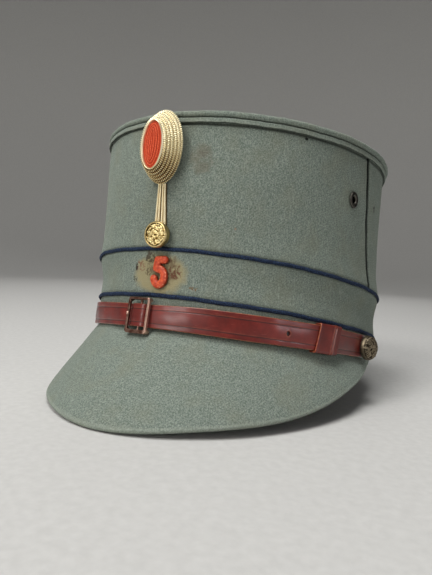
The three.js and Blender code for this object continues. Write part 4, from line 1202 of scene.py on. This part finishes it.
def studio_floor():
    """A round floor that curves up into a wall all round: a flat disc, a quarter circle and an
    upright, turned about the upright axis."""
    bend = np.radians(np.linspace(0, 90, 17))
    radii = np.concatenate([[0.02, 0.5, 1.0], 1.6 + 0.9 * np.sin(bend), [2.5]])
    heights = np.concatenate([[0, 0, 0], 0.9 * (1 - np.cos(bend)), [2.6]])
    u = np.radians(np.arange(0, 360, 5))
    grid = points_of(radii[:, None] * np.cos(u), radii[:, None] * np.sin(u), heights[:, None])
    rows, across = grid.shape[:2]
    i, j = np.arange(rows - 1)[:, None] * across, np.arange(across)
    after = (j + 1) % across
    quads = np.stack([i + j, i + across + j, i + across + after, i + after], -1).reshape(-1, 4)
    mesh = bpy.data.meshes.new("studio_floor")
    mesh.from_pydata(grid.reshape(-1, 3).tolist(), [], [j.tolist()] + quads.tolist())
    mesh.shade_smooth()
    material, tree, shader, place = new_material("pale_studio_paper", {
        "Roughness": 0.85, "Specular IOR Level": 0.2})
    colour, _ = mottled(tree, place, 4, 3.0, 0.5, [(0.3, "#c2c1be"), (0.7, "#cac9c6")])
    tree.links.new(colour, shader.inputs["Base Color"])
    mesh.materials.append(material)
    floor = bpy.data.objects.new("studio_floor", mesh)
    bpy.context.scene.collection.objects.link(floor)


def soft_light(name, at, towards, size, watts, colour):
    """A soft light, of a width and a height, that faces a point."""
    data = bpy.data.lights.new(name, "AREA")
    data.shape, data.energy, data.color = "RECTANGLE", watts, linear(colour)[:3]
    data.size, data.size_y = size
    lamp = bpy.data.objects.new(name, data)
    back = unit(np.array(at, float) - towards)
    right = unit(np.cross((0, 0, 1), back))
    axes = np.stack([right, np.cross(back, right), back, at], -1)
    lamp.matrix_world = Matrix([*axes.tolist(), (0, 0, 0, 1)])
    bpy.context.scene.collection.objects.link(lamp)


studio_floor()
aim = np.array([0.0, -0.02, 0.08])
soft_light("key_light", (-0.22, -1.15, 1.15), aim, (0.55, 0.55), 12.2, "#fffefc")
soft_light("front_card", (-0.36, -1.44, 0.38), aim, (0.5, 0.18), 3.4, "#fffaf6")
soft_light("side_card", (1.14, -0.38, 0.32), aim, (0.15, 0.15), 1.1, "#f8f8ff")
soft_light("back_light", (-0.5, 1.2, 0.9), aim, (0.8, 0.8), 4, "#ffffff")
soft_light("top_light", (0.0, -0.35, 1.45), aim, (0.6, 0.6), 13, "#ffffff")
world = bpy.data.worlds.new("studio_air")
world.use_nodes = True
world.node_tree.nodes["Background"].inputs["Color"].default_value = linear("#e8ebee")
world.node_tree.nodes["Background"].inputs["Strength"].default_value = 0.1
bpy.context.scene.world = world
bpy.context.scene.view_settings.view_transform = "Standard"

camera_data = bpy.data.cameras.new("studio_camera")
camera_data.lens, camera_data.sensor_width = 33.0, 36.0
camera_data.clip_start, camera_data.clip_end = 0.01, 20.0
camera = bpy.data.objects.new("studio_camera", camera_data)
camera.matrix_world = Matrix([
    (0.88555, -0.06647, 0.45977, 0.152904),
    (0.461743, 0.017276, -0.886847, -0.315157),
    (0.051009, 0.997636, 0.045992, 0.078206),
    (0.0, 0.0, 0.0, 1.0),
])
bpy.context.scene.collection.objects.link(camera)
bpy.context.scene.camera = camera
